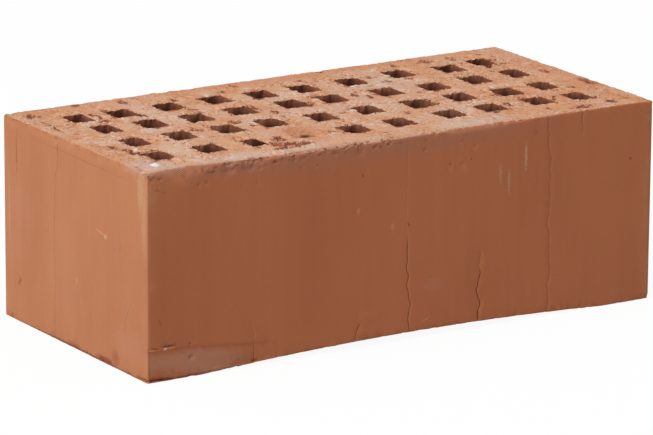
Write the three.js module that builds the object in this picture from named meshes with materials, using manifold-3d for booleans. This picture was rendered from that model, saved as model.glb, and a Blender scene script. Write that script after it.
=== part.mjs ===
// A perforated clay brick of the thickened one-and-a-half size, as a three.js scene graph.
// Millimetres, +Z up. The origin is under the middle of the brick, on the level that it rests on.
// X runs along the stretcher face, and Y from the front stretcher face to the back one.
//
// The brick is one fired piece. Its column of clay came out of a die whose core pins left the
// perforations, and wires cut it to height, so both beds are cut faces. The wire drew the front
// upper arris over and smeared one perforation shut, and the lower bed dried hollow.

import * as THREE from "three";
import { mergeVertices } from "three/addons/utils/BufferGeometryUtils.js";
import Module from "manifold-3d";

const wasm = await Module();
wasm.setup();

// The block
const brickLength = 250;
const brickWidth = 120;
const brickHeight = 88;
const uprightCornerRadius = 3; // on the four upright edges, from the corners of the die
const arrisRadius = 1.5; // wear all round both beds

// The front upper arris, drawn over by the wire
const rollRadiusLeft = 5;
const rollRadiusRight = 2.5;
const rollFadeStart = 30; // from the middle of the brick to where the roll starts to slim
const rollFadeLength = 60;

// The hollow of the lower bed
const camberRise = 3; // at the middle of the length
const camberLanding = 25; // flat stretch left under each end

// The perforations
const coresAlong = 10;
const coresAcross = 4;
const coreLength = 11.5; // along X
const coreWidth = 13; // along Y
const coreCornerRadius = 1.8;
const webAlong = 11.2; // clay between neighbours in a row
const webAcross = 11.4; // clay between rows
const fieldShiftX = -0.6; // the pins were set a little off the middle of the die
const fieldShiftY = -0.9;
const endCoreLength = 10; // the two end columns have slimmer pins
const mouthFlare = 0.8; // how far a mouth opens out where the wire cut it
const mouthFlareDepth = 1.6;

// The perforation that the wire smeared shut: front row, fourth from the left
const sealedRow = 0;
const sealedColumn = 3;
const sealThickness = 12;

// How far the clay pushed each pin off its place in the grid, as [along, across], by rows from
// the front one to the back one.
const pinDrift = [
  [[-2.5, 1], [-1.5, 1], [-1.5, -0.5], [-1, 0], [-0.5, -1],
    [-0.5, -1], [3, 0.5], [1.5, 1], [3, 1], [0, -0.5]],
  [[0.5, 2], [-0.5, 2], [-0.5, 2], [-2, 2], [-1, 0],
    [0, 0.5], [1.5, -0.5], [1, 0], [1, -2.5], [-2, -1.5]],
  [[1.5, 3], [-0.5, 2], [-1.5, 0.5], [-2, 2], [0.5, 1.5],
    [-2.5, 1], [2, -0.5], [2, -2.5], [2, -1], [1, 0.5]],
  [[0.5, 1], [-2, -0.5], [-1.5, 0], [-0.5, 0.5], [-1.5, -1],
    [-3, -1.5], [-1, -1], [2, 1], [4, -1.5], [0, 1.5]],
];

// Fineness of the round forms
const cornerSegments = 5; // in each upright corner of the block
const coreCornerSegments = 2;
const arrisSegments = 3;
const rollSegments = 5; // round the drawn-over arris
const rollStations = 12; // along it
const camberSegments = 16;

const cutOverrun = 5; // how far a cutter runs past the face that it cuts
const quarterTurn = Math.PI / 2;

// Points along an arc, from one angle to another, both ends included. It turns to the left where
// the second angle is the larger one, and to the right where it is the smaller.
function arc(x, y, radius, from, to, segments) {
  const curve = new THREE.EllipseCurve(x, y, radius, radius, from, to, to < from);
  return curve.getPoints(segments);
}

// A rectangle with round corners, centred on the origin of its plane.
function roundedRectangle(length, width, radius, segments) {
  const x = length / 2 - radius;
  const y = width / 2 - radius;
  return new THREE.Shape([
    ...arc(x, y, radius, 0, quarterTurn, segments),
    ...arc(-x, y, radius, quarterTurn, 2 * quarterTurn, segments),
    ...arc(-x, -y, radius, 2 * quarterTurn, 3 * quarterTurn, segments),
    ...arc(x, -y, radius, 3 * quarterTurn, 4 * quarterTurn, segments),
  ]);
}

// Carries a rectangular outline up through a list of levels. Each level is { z, inset }: its
// height, and how far its sides stand in from the outline's own length and width.
function raise(shape, length, width, levels) {
  const steps = levels.length - 1;
  const geometry = new THREE.ExtrudeGeometry(shape, { depth: 1, steps, bevelEnabled: false });
  const position = geometry.getAttribute("position");
  for (let i = 0; i < position.count; i++) {
    const { z, inset } = levels[Math.round(position.getZ(i) * steps)];
    const x = position.getX(i) * (1 - (2 * inset) / length);
    const y = position.getY(i) * (1 - (2 * inset) / width);
    position.setXYZ(i, x, y, z);
  }
  return geometry;
}

// A closed geometry as a manifold-3d solid.
function toSolid(geometry) {
  const bare = geometry.clone();
  bare.deleteAttribute("normal");
  bare.deleteAttribute("uv");
  const merged = mergeVertices(bare, 1e-4);
  return new wasm.Manifold(
    new wasm.Mesh({
      numProp: 3,
      vertProperties: merged.getAttribute("position").array,
      triVerts: new Uint32Array(merged.index.array),
    }),
  );
}

// A manifold-3d solid as a geometry with flat faces.
function toGeometry(solid) {
  const mesh = solid.getMesh();
  const indexed = new THREE.BufferGeometry();
  indexed.setAttribute("position", new THREE.BufferAttribute(mesh.vertProperties, 3));
  indexed.setIndex(new THREE.BufferAttribute(mesh.triVerts, 1));
  const geometry = indexed.toNonIndexed();
  geometry.computeVertexNormals();
  return geometry;
}

// The block of clay before it is pierced: the die's outline, with a worn arris round the upper bed.
function makeBlock() {
  const levels = [{ z: 0, inset: 0 }];
  for (let i = 0; i <= arrisSegments; i++) {
    const angle = (i / arrisSegments) * (Math.PI / 2);
    levels.push({
      z: brickHeight - arrisRadius * (1 - Math.sin(angle)),
      inset: arrisRadius * (1 - Math.cos(angle)),
    });
  }
  const outline = roundedRectangle(
    brickLength,
    brickWidth,
    uprightCornerRadius,
    cornerSegments,
  );
  return toSolid(raise(outline, brickLength, brickWidth, levels));
}

// What the wire took off the front upper arris: the corner outside a quarter round, whose radius
// slims from the left part of the brick to the right part.
function makeArrisRoll() {
  const section = new THREE.Shape([
    new THREE.Vector2(-cutOverrun, 1),
    ...arc(1, 1, 1, 2 * quarterTurn, 3 * quarterTurn, rollSegments),
    new THREE.Vector2(1, -cutOverrun),
    new THREE.Vector2(-cutOverrun, -cutOverrun),
  ]);
  const length = brickLength + 2 * cutOverrun;
  const geometry = new THREE.ExtrudeGeometry(section, {
    depth: length,
    steps: rollStations,
    bevelEnabled: false,
  });
  const position = geometry.getAttribute("position");
  for (let i = 0; i < position.count; i++) {
    const x = length / 2 - position.getZ(i);
    const fade = THREE.MathUtils.smoothstep(x, rollFadeStart, rollFadeStart + rollFadeLength);
    const radius = THREE.MathUtils.lerp(rollRadiusLeft, rollRadiusRight, fade);
    const inward = position.getX(i) * radius;
    const down = position.getY(i) * radius;
    position.setXYZ(i, x, inward - brickWidth / 2, brickHeight - down);
  }
  return toSolid(geometry);
}

// The arch of the lower bed: its radius, and half the stretch that it spans.
const archHalfSpan = brickLength / 2 - camberLanding;
const archRadius = (archHalfSpan ** 2 + camberRise ** 2) / (2 * camberRise);

// How high the lower bed stands above the level that the brick rests on.
function lowerBedHeight(x) {
  if (Math.abs(x) >= archHalfSpan) {
    return 0;
  }
  return camberRise - archRadius + Math.sqrt(archRadius ** 2 - x ** 2);
}

// What is cut away under the lower bed: the bed's profile carried from the front face to the
// back one, with a worn arris at its ends, which turns up into all four faces.
function makeLowerBedCutter() {
  const halfLength = brickLength / 2;
  const arrisX = halfLength - arrisRadius;
  const archHalfAngle = Math.asin(archHalfSpan / archRadius);
  const archStart = quarterTurn - archHalfAngle;
  const archEnd = quarterTurn + archHalfAngle;
  const profile = new THREE.Shape([
    new THREE.Vector2(-halfLength - cutOverrun, -cutOverrun),
    new THREE.Vector2(halfLength + cutOverrun, -cutOverrun),
    new THREE.Vector2(halfLength + cutOverrun, arrisRadius),
    ...arc(arrisX, arrisRadius, arrisRadius, 0, -quarterTurn, arrisSegments),
    ...arc(0, camberRise - archRadius, archRadius, archStart, archEnd, camberSegments),
    ...arc(-arrisX, arrisRadius, arrisRadius, -quarterTurn, -2 * quarterTurn, arrisSegments),
    new THREE.Vector2(-halfLength - cutOverrun, arrisRadius),
  ]);

  const stations = [];
  for (let i = 0; i <= arrisSegments; i++) {
    const angle = (i / arrisSegments) * (Math.PI / 2);
    stations.push({
      y: -brickWidth / 2 + arrisRadius * (1 - Math.cos(angle)),
      rise: arrisRadius * (1 - Math.sin(angle)),
    });
  }
  stations.unshift({ y: -brickWidth / 2 - cutOverrun, rise: arrisRadius });
  const mirrored = stations.map(({ y, rise }) => ({ y: -y, rise })).reverse();
  stations.push(...mirrored);

  const steps = stations.length - 1;
  const geometry = new THREE.ExtrudeGeometry(profile, { depth: 1, steps, bevelEnabled: false });
  const position = geometry.getAttribute("position");
  for (let i = 0; i < position.count; i++) {
    const { y, rise } = stations[Math.round((1 - position.getZ(i)) * steps)];
    position.setXYZ(i, position.getX(i), y, position.getY(i) + rise);
  }
  return toSolid(geometry);
}

// The place of a core pin, from the middle of the brick.
function pinPlace(row, column) {
  const [driftX, driftY] = pinDrift[row]?.[column] ?? [0, 0];
  const pitchX = coreLength + webAlong;
  const pitchY = coreWidth + webAcross;
  return {
    x: (column - (coresAlong - 1) / 2) * pitchX + fieldShiftX + driftX,
    y: (row - (coresAcross - 1) / 2) * pitchY + fieldShiftY + driftY,
  };
}

// One perforation: a straight core with a mouth that flares out at each bed. A sealed one stops
// short of the upper bed and has no upper mouth.
function makeCore(row, column) {
  const { x, y } = pinPlace(row, column);
  const atEnd = column === 0 || column === coresAlong - 1;
  const length = atEnd ? endCoreLength : coreLength;
  const sealed = row === sealedRow && column === sealedColumn;
  const lowerMouth = lowerBedHeight(x);
  const levels = [
    { z: lowerMouth - cutOverrun, inset: -mouthFlare },
    { z: lowerMouth, inset: -mouthFlare },
    { z: lowerMouth + mouthFlareDepth, inset: 0 },
  ];
  if (sealed) {
    levels.push({ z: brickHeight - sealThickness, inset: 0 });
  } else {
    levels.push({ z: brickHeight - mouthFlareDepth, inset: 0 });
    levels.push({ z: brickHeight, inset: -mouthFlare });
    levels.push({ z: brickHeight + cutOverrun, inset: -mouthFlare });
  }
  const outline = roundedRectangle(length, coreWidth, coreCornerRadius, coreCornerSegments);
  const geometry = raise(outline, length, coreWidth, levels);
  geometry.translate(x, y, 0);
  return toSolid(geometry);
}

function makeBrick() {
  let solid = makeBlock().subtract(makeArrisRoll()).subtract(makeLowerBedCutter());
  for (let row = 0; row < coresAcross; row++) {
    for (let column = 0; column < coresAlong; column++) {
      solid = solid.subtract(makeCore(row, column));
    }
  }
  return solid;
}

const firedClay = new THREE.MeshStandardMaterial({
  color: 0xc4805a,
  roughness: 0.92,
  metalness: 0,
});

const brick = new THREE.Mesh(toGeometry(makeBrick()), firedClay);
brick.name = "brick";

const group = new THREE.Group();
group.add(brick);

export default group;
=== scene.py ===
"""A perforated clay brick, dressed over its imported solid.

The brick is one closed surface: two wire-cut beds, four faces drawn by the die, and the walls of
the perforations. Each stretch of it is worked out as whole arrays on a grid, in millimetres, and
the stretches share the points along the edges where they meet. Relief is then cut into it along
its normals, and flat places are thinned.
"""

import logging
import math
from collections.abc import Sequence
from dataclasses import dataclass, field
from enum import Enum
from functools import reduce
from typing import Self

import bpy
import numpy as np
from mathutils import Matrix, Vector


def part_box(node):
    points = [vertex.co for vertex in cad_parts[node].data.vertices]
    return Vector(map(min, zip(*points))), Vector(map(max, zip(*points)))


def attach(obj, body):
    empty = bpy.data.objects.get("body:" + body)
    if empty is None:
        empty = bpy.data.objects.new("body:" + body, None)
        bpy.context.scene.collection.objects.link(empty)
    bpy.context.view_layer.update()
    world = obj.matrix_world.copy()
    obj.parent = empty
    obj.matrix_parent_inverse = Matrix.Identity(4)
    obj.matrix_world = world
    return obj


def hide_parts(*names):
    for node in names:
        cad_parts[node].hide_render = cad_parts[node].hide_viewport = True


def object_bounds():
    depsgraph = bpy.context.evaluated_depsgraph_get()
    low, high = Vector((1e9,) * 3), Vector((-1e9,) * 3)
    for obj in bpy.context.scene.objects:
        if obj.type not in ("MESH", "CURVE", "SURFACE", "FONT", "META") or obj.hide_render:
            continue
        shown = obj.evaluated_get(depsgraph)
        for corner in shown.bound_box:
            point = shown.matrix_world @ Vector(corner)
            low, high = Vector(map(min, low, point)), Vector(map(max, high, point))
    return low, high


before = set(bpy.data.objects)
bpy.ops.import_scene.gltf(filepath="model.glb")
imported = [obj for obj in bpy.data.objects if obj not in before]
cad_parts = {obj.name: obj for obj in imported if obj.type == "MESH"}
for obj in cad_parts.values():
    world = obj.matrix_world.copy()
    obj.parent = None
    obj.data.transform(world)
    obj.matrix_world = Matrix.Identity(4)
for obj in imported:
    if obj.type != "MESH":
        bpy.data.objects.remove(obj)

CAD_BOX = [list(corner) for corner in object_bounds()]
MM = 0.001
BRICK_NODE = "brick"
BODY = "root"
ROWS = 4  # of perforations
NEAR_TOP = 6.0  # how far below the upper bed the mouths are looked for
MOUTH_REACH = 14.0  # how far from a mouth's middle its own stretch of bed goes
MOUTH_LINES = 7  # how many grid lines about a mouth move with it
MOUTH_DEPTH = 3.2  # how far down a mouth's own shape reaches
TORN_REACH = 4.5  # how far from a mouth its torn edge moves the bed
FOLLOW_REACH = 6.0  # how wide a bell of grid lines follows a crack
CROWD_REACH = 3.0  # how wide a bell of them crowds about it
BEDS_APART = 9.0  # sets the noise of one bed apart from the other's
MARK_DEPTH = 8.0  # how far in from its face a mark reaches
PRIMES = np.array([73856093, 19349663, 83492791])  # they mix the numbers of a noise's cells
FAR = 99.0  # a distance beyond any that counts
TINY = 1e-9

Array = np.ndarray
Socket = bpy.types.NodeSocket
Triple = tuple[float, float, float]
Size = float | Triple
Colour = tuple[float, float, float, float]
Rows = tuple[tuple[float, ...], ...]

WHITE: Colour = (1.0, 1.0, 1.0, 1.0)

log = logging.getLogger("brick")


# ---- Numbers on arrays ----


def ease(value: Array, low: float, high: float) -> Array:
    """Eases from 0 at low to 1 at high, by 3t^2 - 2t^3.

    Args:
        value: Any array.
        low: Where the step starts.
        high: Where it ends; below low the step falls.

    Returns:
        An array like value, from 0 to 1.
    """
    t = np.clip((value - low) / (high - low), 0.0, 1.0)
    return t * t * (3.0 - 2.0 * t)


@dataclass(frozen=True)
class Noise:
    """A smooth random field in space, the same at every run.

    Each corner of a cubic cell has a random slope. A point's value is the sum, over the eight
    corners, of that slope times the way from the corner, shared out by 6t^5 - 15t^4 + 10t^3.
    """

    seed: int

    def _mixed(self, cell: Array) -> Array:
        """One well-mixed number for each cell, from its own numbers and the seed."""
        mixed = np.bitwise_xor.reduce(cell * PRIMES[: cell.shape[1]], axis=1)
        return ((mixed ^ (mixed >> 13)) * 1274126177 + self.seed * 40503) >> 7

    def at(self, places: Array, size: Size) -> Array:
        """Reads the field.

        Args:
            places: Points, n by 3.
            size: The width of a cell, or its width along each axis.

        Returns:
            n values, about -1 to 1.
        """
        slopes = np.random.default_rng(self.seed).normal(size=(256, 3))
        slopes /= np.linalg.norm(slopes, axis=1)[:, None]
        cells = places / np.asarray(size, float) + 0.37 * self.seed
        corner = np.floor(cells).astype(np.int64)
        inside = cells - corner
        eased = inside**3 * (inside * (inside * 6.0 - 15.0) + 10.0)
        total = np.zeros(len(places))
        for step in np.ndindex(2, 2, 2):
            slope = slopes[self._mixed(corner + step) & 255]
            share = np.prod(np.where(step, eased, 1.0 - eased), axis=1)
            total += share * np.einsum("ij,ij->i", slope, inside - step)
        return total * 1.6

    def fractal(self, places: Array, size: Size, octaves: int) -> Array:
        """Sums octaves, each half as wide and half as high as the last.

        Args:
            places: Points, n by 3.
            size: The width of the widest cells.
            octaves: How many octaves.

        Returns:
            n values, about -1 to 1.
        """
        total, whole = np.zeros(len(places)), 0.0
        for octave in range(octaves):
            height = 0.5**octave
            total += height * Noise(self.seed + 17 * octave).at(places, np.asarray(size) * height)
            whole += height
        return total / whole

    def grains(self, places: Array, size: float, share: float) -> Array:
        """Reads grains and pits strewn over a plan.

        Each cell of a flat grid may hold one, at its own place and of its own radius r. It is a
        low mesa, full within 0.6 r and gone at 1.25 r, times r, and as many sink as stand.

        Args:
            places: Points, n by 3; their height is not used.
            size: The width of a cell.
            share: How many cells hold a grain or a pit, from 0 to 1.

        Returns:
            n values, about -0.6 to 0.6.
        """
        draws = np.random.default_rng(self.seed).random((4096, 4))
        plan = places[:, :2] / size
        cell = np.floor(plan).astype(np.int64)
        total = np.zeros(len(places))
        for step in np.ndindex(3, 3):
            at = cell + step - 1
            draw = draws[self._mixed(at) & 4095]
            radius = 0.22 + 0.38 * draw[:, 2] ** 2
            away = np.linalg.norm(plan - at - 0.15 - 0.7 * draw[:, :2], axis=1) / radius
            sign = np.where(draw[:, 3] < share / 2, 1.0, np.where(draw[:, 3] < share, -1.0, 0.0))
            total += sign * radius * ease(away, 1.25, 0.6)
        return total


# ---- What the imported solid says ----


def read_mesh(items: bpy.types.bpy_prop_collection, name: str, kind: type = np.float32) -> Array:
    """Reads one property of each of a mesh's vertices, corners or the like.

    Args:
        items: What it is read from.
        name: The property; "co" gives a row of three for each.
        kind: What its numbers are.

    Returns:
        The numbers.
    """
    shape = (len(items), 3) if name == "co" else (len(items),)
    values = np.empty(int(np.prod(shape)), kind)
    items.foreach_get(name, values)
    return values.reshape(shape)


def solid_triangles(node: bpy.types.Object) -> Array:
    """Reads the corners of a CAD node's triangles.

    Args:
        node: The node's object.

    Returns:
        Corners in millimetres, n by 3 by 3.
    """
    mesh = node.data
    mesh.calc_loop_triangles()
    corners = np.empty(len(mesh.loop_triangles) * 3, np.int32)
    mesh.loop_triangles.foreach_get("vertices", corners)
    return read_mesh(mesh.vertices, "co")[corners].reshape(-1, 3, 3).astype(float) / MM


def level_outlines(triangles: Array, height: float) -> Array:
    """Finds the boxes of the closed outlines in which a level plane cuts a solid.

    Each triangle that the plane crosses gives one segment, whose ends lie on two of its edges at
    the share of the rise where the plane passes. Segments that share an end get one label, by
    letting the lower label pass along them until none changes.

    Args:
        triangles: Corners, n by 3 by 3.
        height: The plane's height.

    Returns:
        One row for each outline: low x, low y, high x, high y.
    """
    above = triangles[:, :, 2] > height
    start = triangles[above.any(1) & ~above.all(1)]
    end = np.roll(start, -1, axis=1)
    rise = end[:, :, 2] - start[:, :, 2]
    hit = (start[:, :, 2] > height) != (end[:, :, 2] > height)
    share = (height - start[:, :, 2]) / np.where(hit, rise, 1.0)
    segments = (start + share[:, :, None] * (end - start))[hit][:, :2]
    points, index = np.unique(np.round(segments, 2), axis=0, return_inverse=True)
    ends = index.reshape(-1, 2)
    label = np.arange(len(points))
    settled = False
    while not settled:
        lower = label.copy()
        np.minimum.at(lower, ends[:, 0], label[ends[:, 1]])
        np.minimum.at(lower, ends[:, 1], label[ends[:, 0]])
        settled = bool((lower == label).all())
        label = lower
    groups = [points[label == name] for name in np.unique(label)]
    return np.array([np.concatenate([group.min(0), group.max(0)]) for group in groups])


@dataclass
class Cores:
    """The perforations, in rows from the front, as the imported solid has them."""

    low: Array  # rows by columns by 2: the corner with the lowest x and y
    high: Array
    sealed: tuple[int, int]  # the one that is shut at the upper bed
    seal_level: float  # the height at which that one ends
    end_laps: tuple[float, float] = (0.55, 0.0)  # clay drawn over a mouth's left and right edges
    front_laps: tuple[float, ...] = (1.7, 0.6, 0.6, 0.4)  # over the front edge, row by row
    back_laps: tuple[float, ...] = (-0.7, -0.8, -0.6, 0.1)  # below 0 the back edge broke open
    choked: tuple[int, int] = (0, 2)  # the mouth that crumbs narrow at the right and the front
    choke: tuple[float, float] = (3.4, 1.0)

    @classmethod
    def from_solid(cls, triangles: Array, rows: int, mid: float, near_top: float) -> Self:
        """Slices the solid at two heights and sorts the outlines into rows and columns.

        Args:
            triangles: The solid's triangles.
            rows: How many rows of perforations there are.
            mid: A height at which every perforation shows.
            near_top: A height just under the upper bed.

        Returns:
            The perforations.
        """
        boxes = level_outlines(triangles, mid)
        wide = boxes[:, 2] - boxes[:, 0]
        boxes = boxes[wide < wide.max() / 2]
        middle_y = (boxes[:, 1] + boxes[:, 3]) / 2
        order = np.argsort(middle_y).reshape(rows, -1)
        boxes = np.array([boxes[row][np.argsort(boxes[row][:, 0])] for row in order])
        open_boxes = level_outlines(triangles, near_top)
        middles = (boxes[:, :, :2] + boxes[:, :, 2:]) / 2
        open_middles = (open_boxes[:, :2] + open_boxes[:, 2:]) / 2
        nearest = np.linalg.norm(middles[:, :, None] - open_middles, axis=-1).min(-1)
        row, column = (int(n) for n in np.unravel_index(nearest.argmax(), nearest.shape))
        corners = triangles.reshape(-1, 3)
        reach = boxes[row, column, 2:] - middles[row, column] + 0.1
        within = (np.abs(corners[:, :2] - middles[row, column]) < reach).all(1)
        level = corners[within & (corners[:, 2] > mid) & (corners[:, 2] < near_top), 2].max()
        return cls(boxes[:, :, :2], boxes[:, :, 2:], (row, column), float(level))

    def middles(self) -> Array:
        """The middle of each perforation in plan, rows by columns by 2."""
        return (self.low + self.high) / 2

    def mouths(self, upper: bool = True) -> tuple[Array, Array]:
        """The mouths of a bed's perforations, as the wire left them.

        Args:
            upper: The bed is the upper one, where crumbs narrow a mouth.

        Returns:
            Their low and their high corners, rows by columns by 2.
        """
        low, high = self.low.copy(), self.high.copy()
        low[..., 0] += self.end_laps[0]
        high[..., 0] -= self.end_laps[1]
        low[..., 1] += np.array(self.front_laps)[:, None]
        high[..., 1] -= np.array(self.back_laps)[:, None]
        if upper:
            high[self.choked][0] -= self.choke[0]
            low[self.choked][1] += self.choke[1]
        return low, high


# ---- The form of the block ----


@dataclass(frozen=True)
class Arris:
    """An arris as an arc that leaves the face upright and meets the bed after a turn.

    At a turn of 90 degrees the arc runs into the bed without an edge. At less it meets the bed
    at an angle, as where a face was drawn over before the bed was cut.
    """

    radius: float
    turn: float  # degrees


@dataclass
class Block:
    """The block's outside sizes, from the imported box, and the rounding of its edges."""

    length: float
    width: float
    height: float
    upright_radius: float = 0.5
    arris: Arris = Arris(0.7, 54.0)
    lower_arris: Arris = Arris(0.3, 45.0)
    front_arris: tuple[Triple, ...] = (  # x, and the radius and turn there
        (-125, 1.4, 64), (-120, 3.6, 62), (-113, 8.2, 61), (-105, 8.6, 63), (-99, 4.8, 60),
        (-92, 2.4, 56), (-72, 2.2, 56), (-60, 1.7, 72), (-40, 2.0, 66), (-10, 1.5, 74),
        (18, 1.3, 70), (24, 4.6, 42), (40, 4.2, 42), (54, 2.0, 56), (64, 1.0, 64), (125, 0.8, 60),
    )
    corner_reach: float = 8.0  # how far the front arris reaches round each corner
    camber_rise: float = 3.0
    camber_landing: float = 25.0
    mouth_radius: float = 1.5
    core_radius: float = 1.8

    @classmethod
    def from_frame(cls) -> Self:
        """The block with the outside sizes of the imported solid."""
        low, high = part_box(BRICK_NODE)
        return cls(*(float(size) / MM for size in high - low))

    def lower_bed(self, x: Array) -> Array:
        """Height of the hollow lower bed: an arc of a circle between the two landings.

        Args:
            x: Places along the brick.

        Returns:
            The height at each place.
        """
        half = self.length / 2 - self.camber_landing
        radius = (half**2 + self.camber_rise**2) / (2 * self.camber_rise)
        inside = np.clip(np.abs(x), 0, half)
        return self.camber_rise - radius + np.sqrt(radius**2 - inside**2)

    def arris_at(self, x: Array, y: Array, upper: bool) -> tuple[Array, Array]:
        """The arris of a bed at each place: along the front of the upper bed it wavers.

        Between the steps of the front arris the radius and the turn run in straight lines. Away
        from the front they ease to the plain arris.

        Args:
            x: Places along the brick.
            y: Places across it.
            upper: The bed is the upper one.

        Returns:
            The radius and the turn in radians at each place.
        """
        if not upper:
            plain = self.lower_arris
            return np.full(x.shape, plain.radius), np.full(x.shape, math.radians(plain.turn))
        steps, radii, turns = np.array(self.front_arris).T
        radius, turn = np.interp(x, steps, radii), np.interp(x, steps, turns)
        along = np.stack([x, 0 * x, 0 * x], axis=-1).reshape(-1, 3)
        radius = radius * (1 + 0.22 * Noise(3).fractal(along, 9.0, 3).reshape(x.shape))
        near = ease(y + self.width / 2, 3 + self.corner_reach, 3)
        radius = self.arris.radius + (radius - self.arris.radius) * near
        turn = self.arris.turn + (turn - self.arris.turn) * near
        return radius, np.radians(turn)

    def inward(self, x: Array, y: Array) -> Array:
        """How far each place lies from the nearest face."""
        return np.minimum(self.length / 2 - np.abs(x), self.width / 2 - np.abs(y))

    def round_corners(self, x: Array, y: Array) -> tuple[Array, Array]:
        """Turns the square corners of the plan into round ones.

        In a corner's own square the larger of a point's two shares of the way out becomes its
        distance from the middle of the arc, so that squares become circles.

        Args:
            x: Places along the brick.
            y: Places across it.

        Returns:
            The new x and y.
        """
        r = self.upright_radius
        share_x = np.clip(1 - (self.length / 2 - np.abs(x)) / r, 0, None)
        share_y = np.clip(1 - (self.width / 2 - np.abs(y)) / r, 0, None)
        reach = np.maximum(np.hypot(share_x, share_y), TINY)
        pull = np.maximum(share_x, share_y) / reach
        new_x = np.sign(x) * (self.length / 2 - r + r * share_x * pull)
        new_y = np.sign(y) * (self.width / 2 - r + r * share_y * pull)
        return np.where(share_x > 0, new_x, x), np.where(share_y > 0, new_y, y)


def round_box(way: Array, half: Array, radius: float) -> Array:
    """How much nearer the outline of a box with round corners lies than the square box.

    On a ray to the point q of the square outline, the round corner's circle is met where
    |s q - m| = r, with m the circle's middle. The larger root of that square equation is s.

    Args:
        way: Points on the square outline from the box's middle, n by 2.
        half: The box's half sizes.
        radius: The corner radius.

    Returns:
        s for each point, 1 away from the corners.
    """
    q = np.abs(way)
    middle = half - radius
    size = np.maximum((q**2).sum(-1), TINY)
    along = (q * middle).sum(-1)
    rest = (middle**2).sum(-1) - radius**2
    root = (along + np.sqrt(np.maximum(along**2 - size * rest, 0))) / size
    in_corner = (root[..., None] * q > middle).all(-1)
    return np.where(in_corner, root, 1.0)


@dataclass(frozen=True)
class Crack:
    """A drying crack: its path, and the groove that it cuts.

    The first number of each place on the path lies across the crack's run, and the second along
    it: place along the face and height on a face, x and y on a bed.
    """

    path: tuple[tuple[float, float], ...]
    width: float = 0.24
    depth: float = 0.6
    gapes: tuple[float, float] = (-200.0, 200.0)  # the stretch of the run where it is widest
    faint: float = 0.45  # its depth elsewhere, as a share
    jag: float = 0.5  # how far it strays from the straight lines between its places

    def middle(self) -> float:
        """The crack's mean place."""
        return sum(place for place, _ in self.path) / len(self.path)

    def place(self, run: Array) -> Array:
        """The crack's place across its run: straight lines between its places, plus a jag.

        Args:
            run: Places along the run.

        Returns:
            The place at each.
        """
        across, along = np.array(sorted(self.path, key=lambda step: step[1])).T
        steps = np.linspace(along[0] - 5, along[-1] + 5, 400)
        apart = np.full_like(steps, 10 * self.middle())
        line = np.stack([steps, apart, np.zeros_like(steps)], axis=1)
        strays = self.jag * Noise(51).fractal(line, 4.2, 3)
        return np.interp(run, along, across) + np.interp(run, steps, strays)

    def span(self, run: Array) -> Array:
        """1 along the crack's run, easing to 0 just past its ends."""
        low, high = (end(step[1] for step in self.path) for end in (min, max))
        return ease(run, low - 1.5, low + 0.5) * ease(run, high + 1.5, high - 0.5)

    def draw(self, across: Array, run: Array) -> Array:
        """How far grid lines move so that they follow the crack and crowd round it.

        The line at the mean place moves onto the crack, lines about it follow by a bell, and
        lines within a few millimetres are pulled towards it by most of their distance.

        Args:
            across: Places across the run.
            run: Places along it.

        Returns:
            The shift at each place.
        """
        away = across - self.middle()
        follow = (self.place(run) - self.middle()) * np.exp(-((away / FOLLOW_REACH) ** 2))
        crowd = -0.9 * away * np.exp(-((away / CROWD_REACH) ** 2))
        return (follow + crowd) * self.span(run)

    def groove(self, across: Array, run: Array, ragged: Array) -> Array:
        """The groove's depth: a bell across the crack, fainter outside the gaping stretch.

        Args:
            across: Places across the run.
            run: Places along it.
            ragged: Noise that makes the width come and go.

        Returns:
            The depth at each place.
        """
        away = np.abs(across - self.place(run))
        low, high = self.gapes
        gape = ease(run, low - 5, low) * ease(run, high + 5, high)
        gape = self.faint + (1 - self.faint) * gape
        width = self.width * (0.6 + 0.4 * gape) * (1 + 0.4 * ragged)
        return self.depth * gape * self.span(run) * np.exp(-((away / (0.6 * width)) ** 2))


class Side(Enum):
    """Where a mark lies: its two axes in the face, the face's own axis, and which end of that."""

    FRONT = (0, 2, 1, -1)
    LEFT = (1, 2, 0, -1)
    UPPER_BED = (0, 1, 2, 1)


@dataclass(frozen=True)
class Oval:
    """An oval place on a face: the middle, the two sizes and the turn, in the face's own axes."""

    side: Side
    along: float
    level: float
    length: float
    width: float
    amount: float = 1.0  # how deep a dent is, below 0 where it stands, or how strong a stain
    turn: float = 0.0  # degrees, from the face's first axis towards its second

    def reach(self, places: Array) -> Array:
        """How far out each place lies, 1 on the oval's outline.

        Args:
            places: Points, n by 3.

        Returns:
            The reach of each.
        """
        first, second, _, _ = self.side.value
        turn = math.radians(self.turn)
        u, v = places[:, first] - self.along, places[:, second] - self.level
        along = (u * math.cos(turn) + v * math.sin(turn)) / (self.length / 2)
        across = (v * math.cos(turn) - u * math.sin(turn)) / (self.width / 2)
        return np.hypot(along, across)


def ovals(front: Rows = (), left: Rows = (), bed: Rows = ()) -> tuple[Oval, ...]:
    """Ovals from rows of their numbers, for the front, the left end and the upper bed."""
    sides = ((Side.FRONT, front), (Side.LEFT, left), (Side.UPPER_BED, bed))
    return tuple(Oval(side, *row) for side, rows in sides for row in rows)


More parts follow.
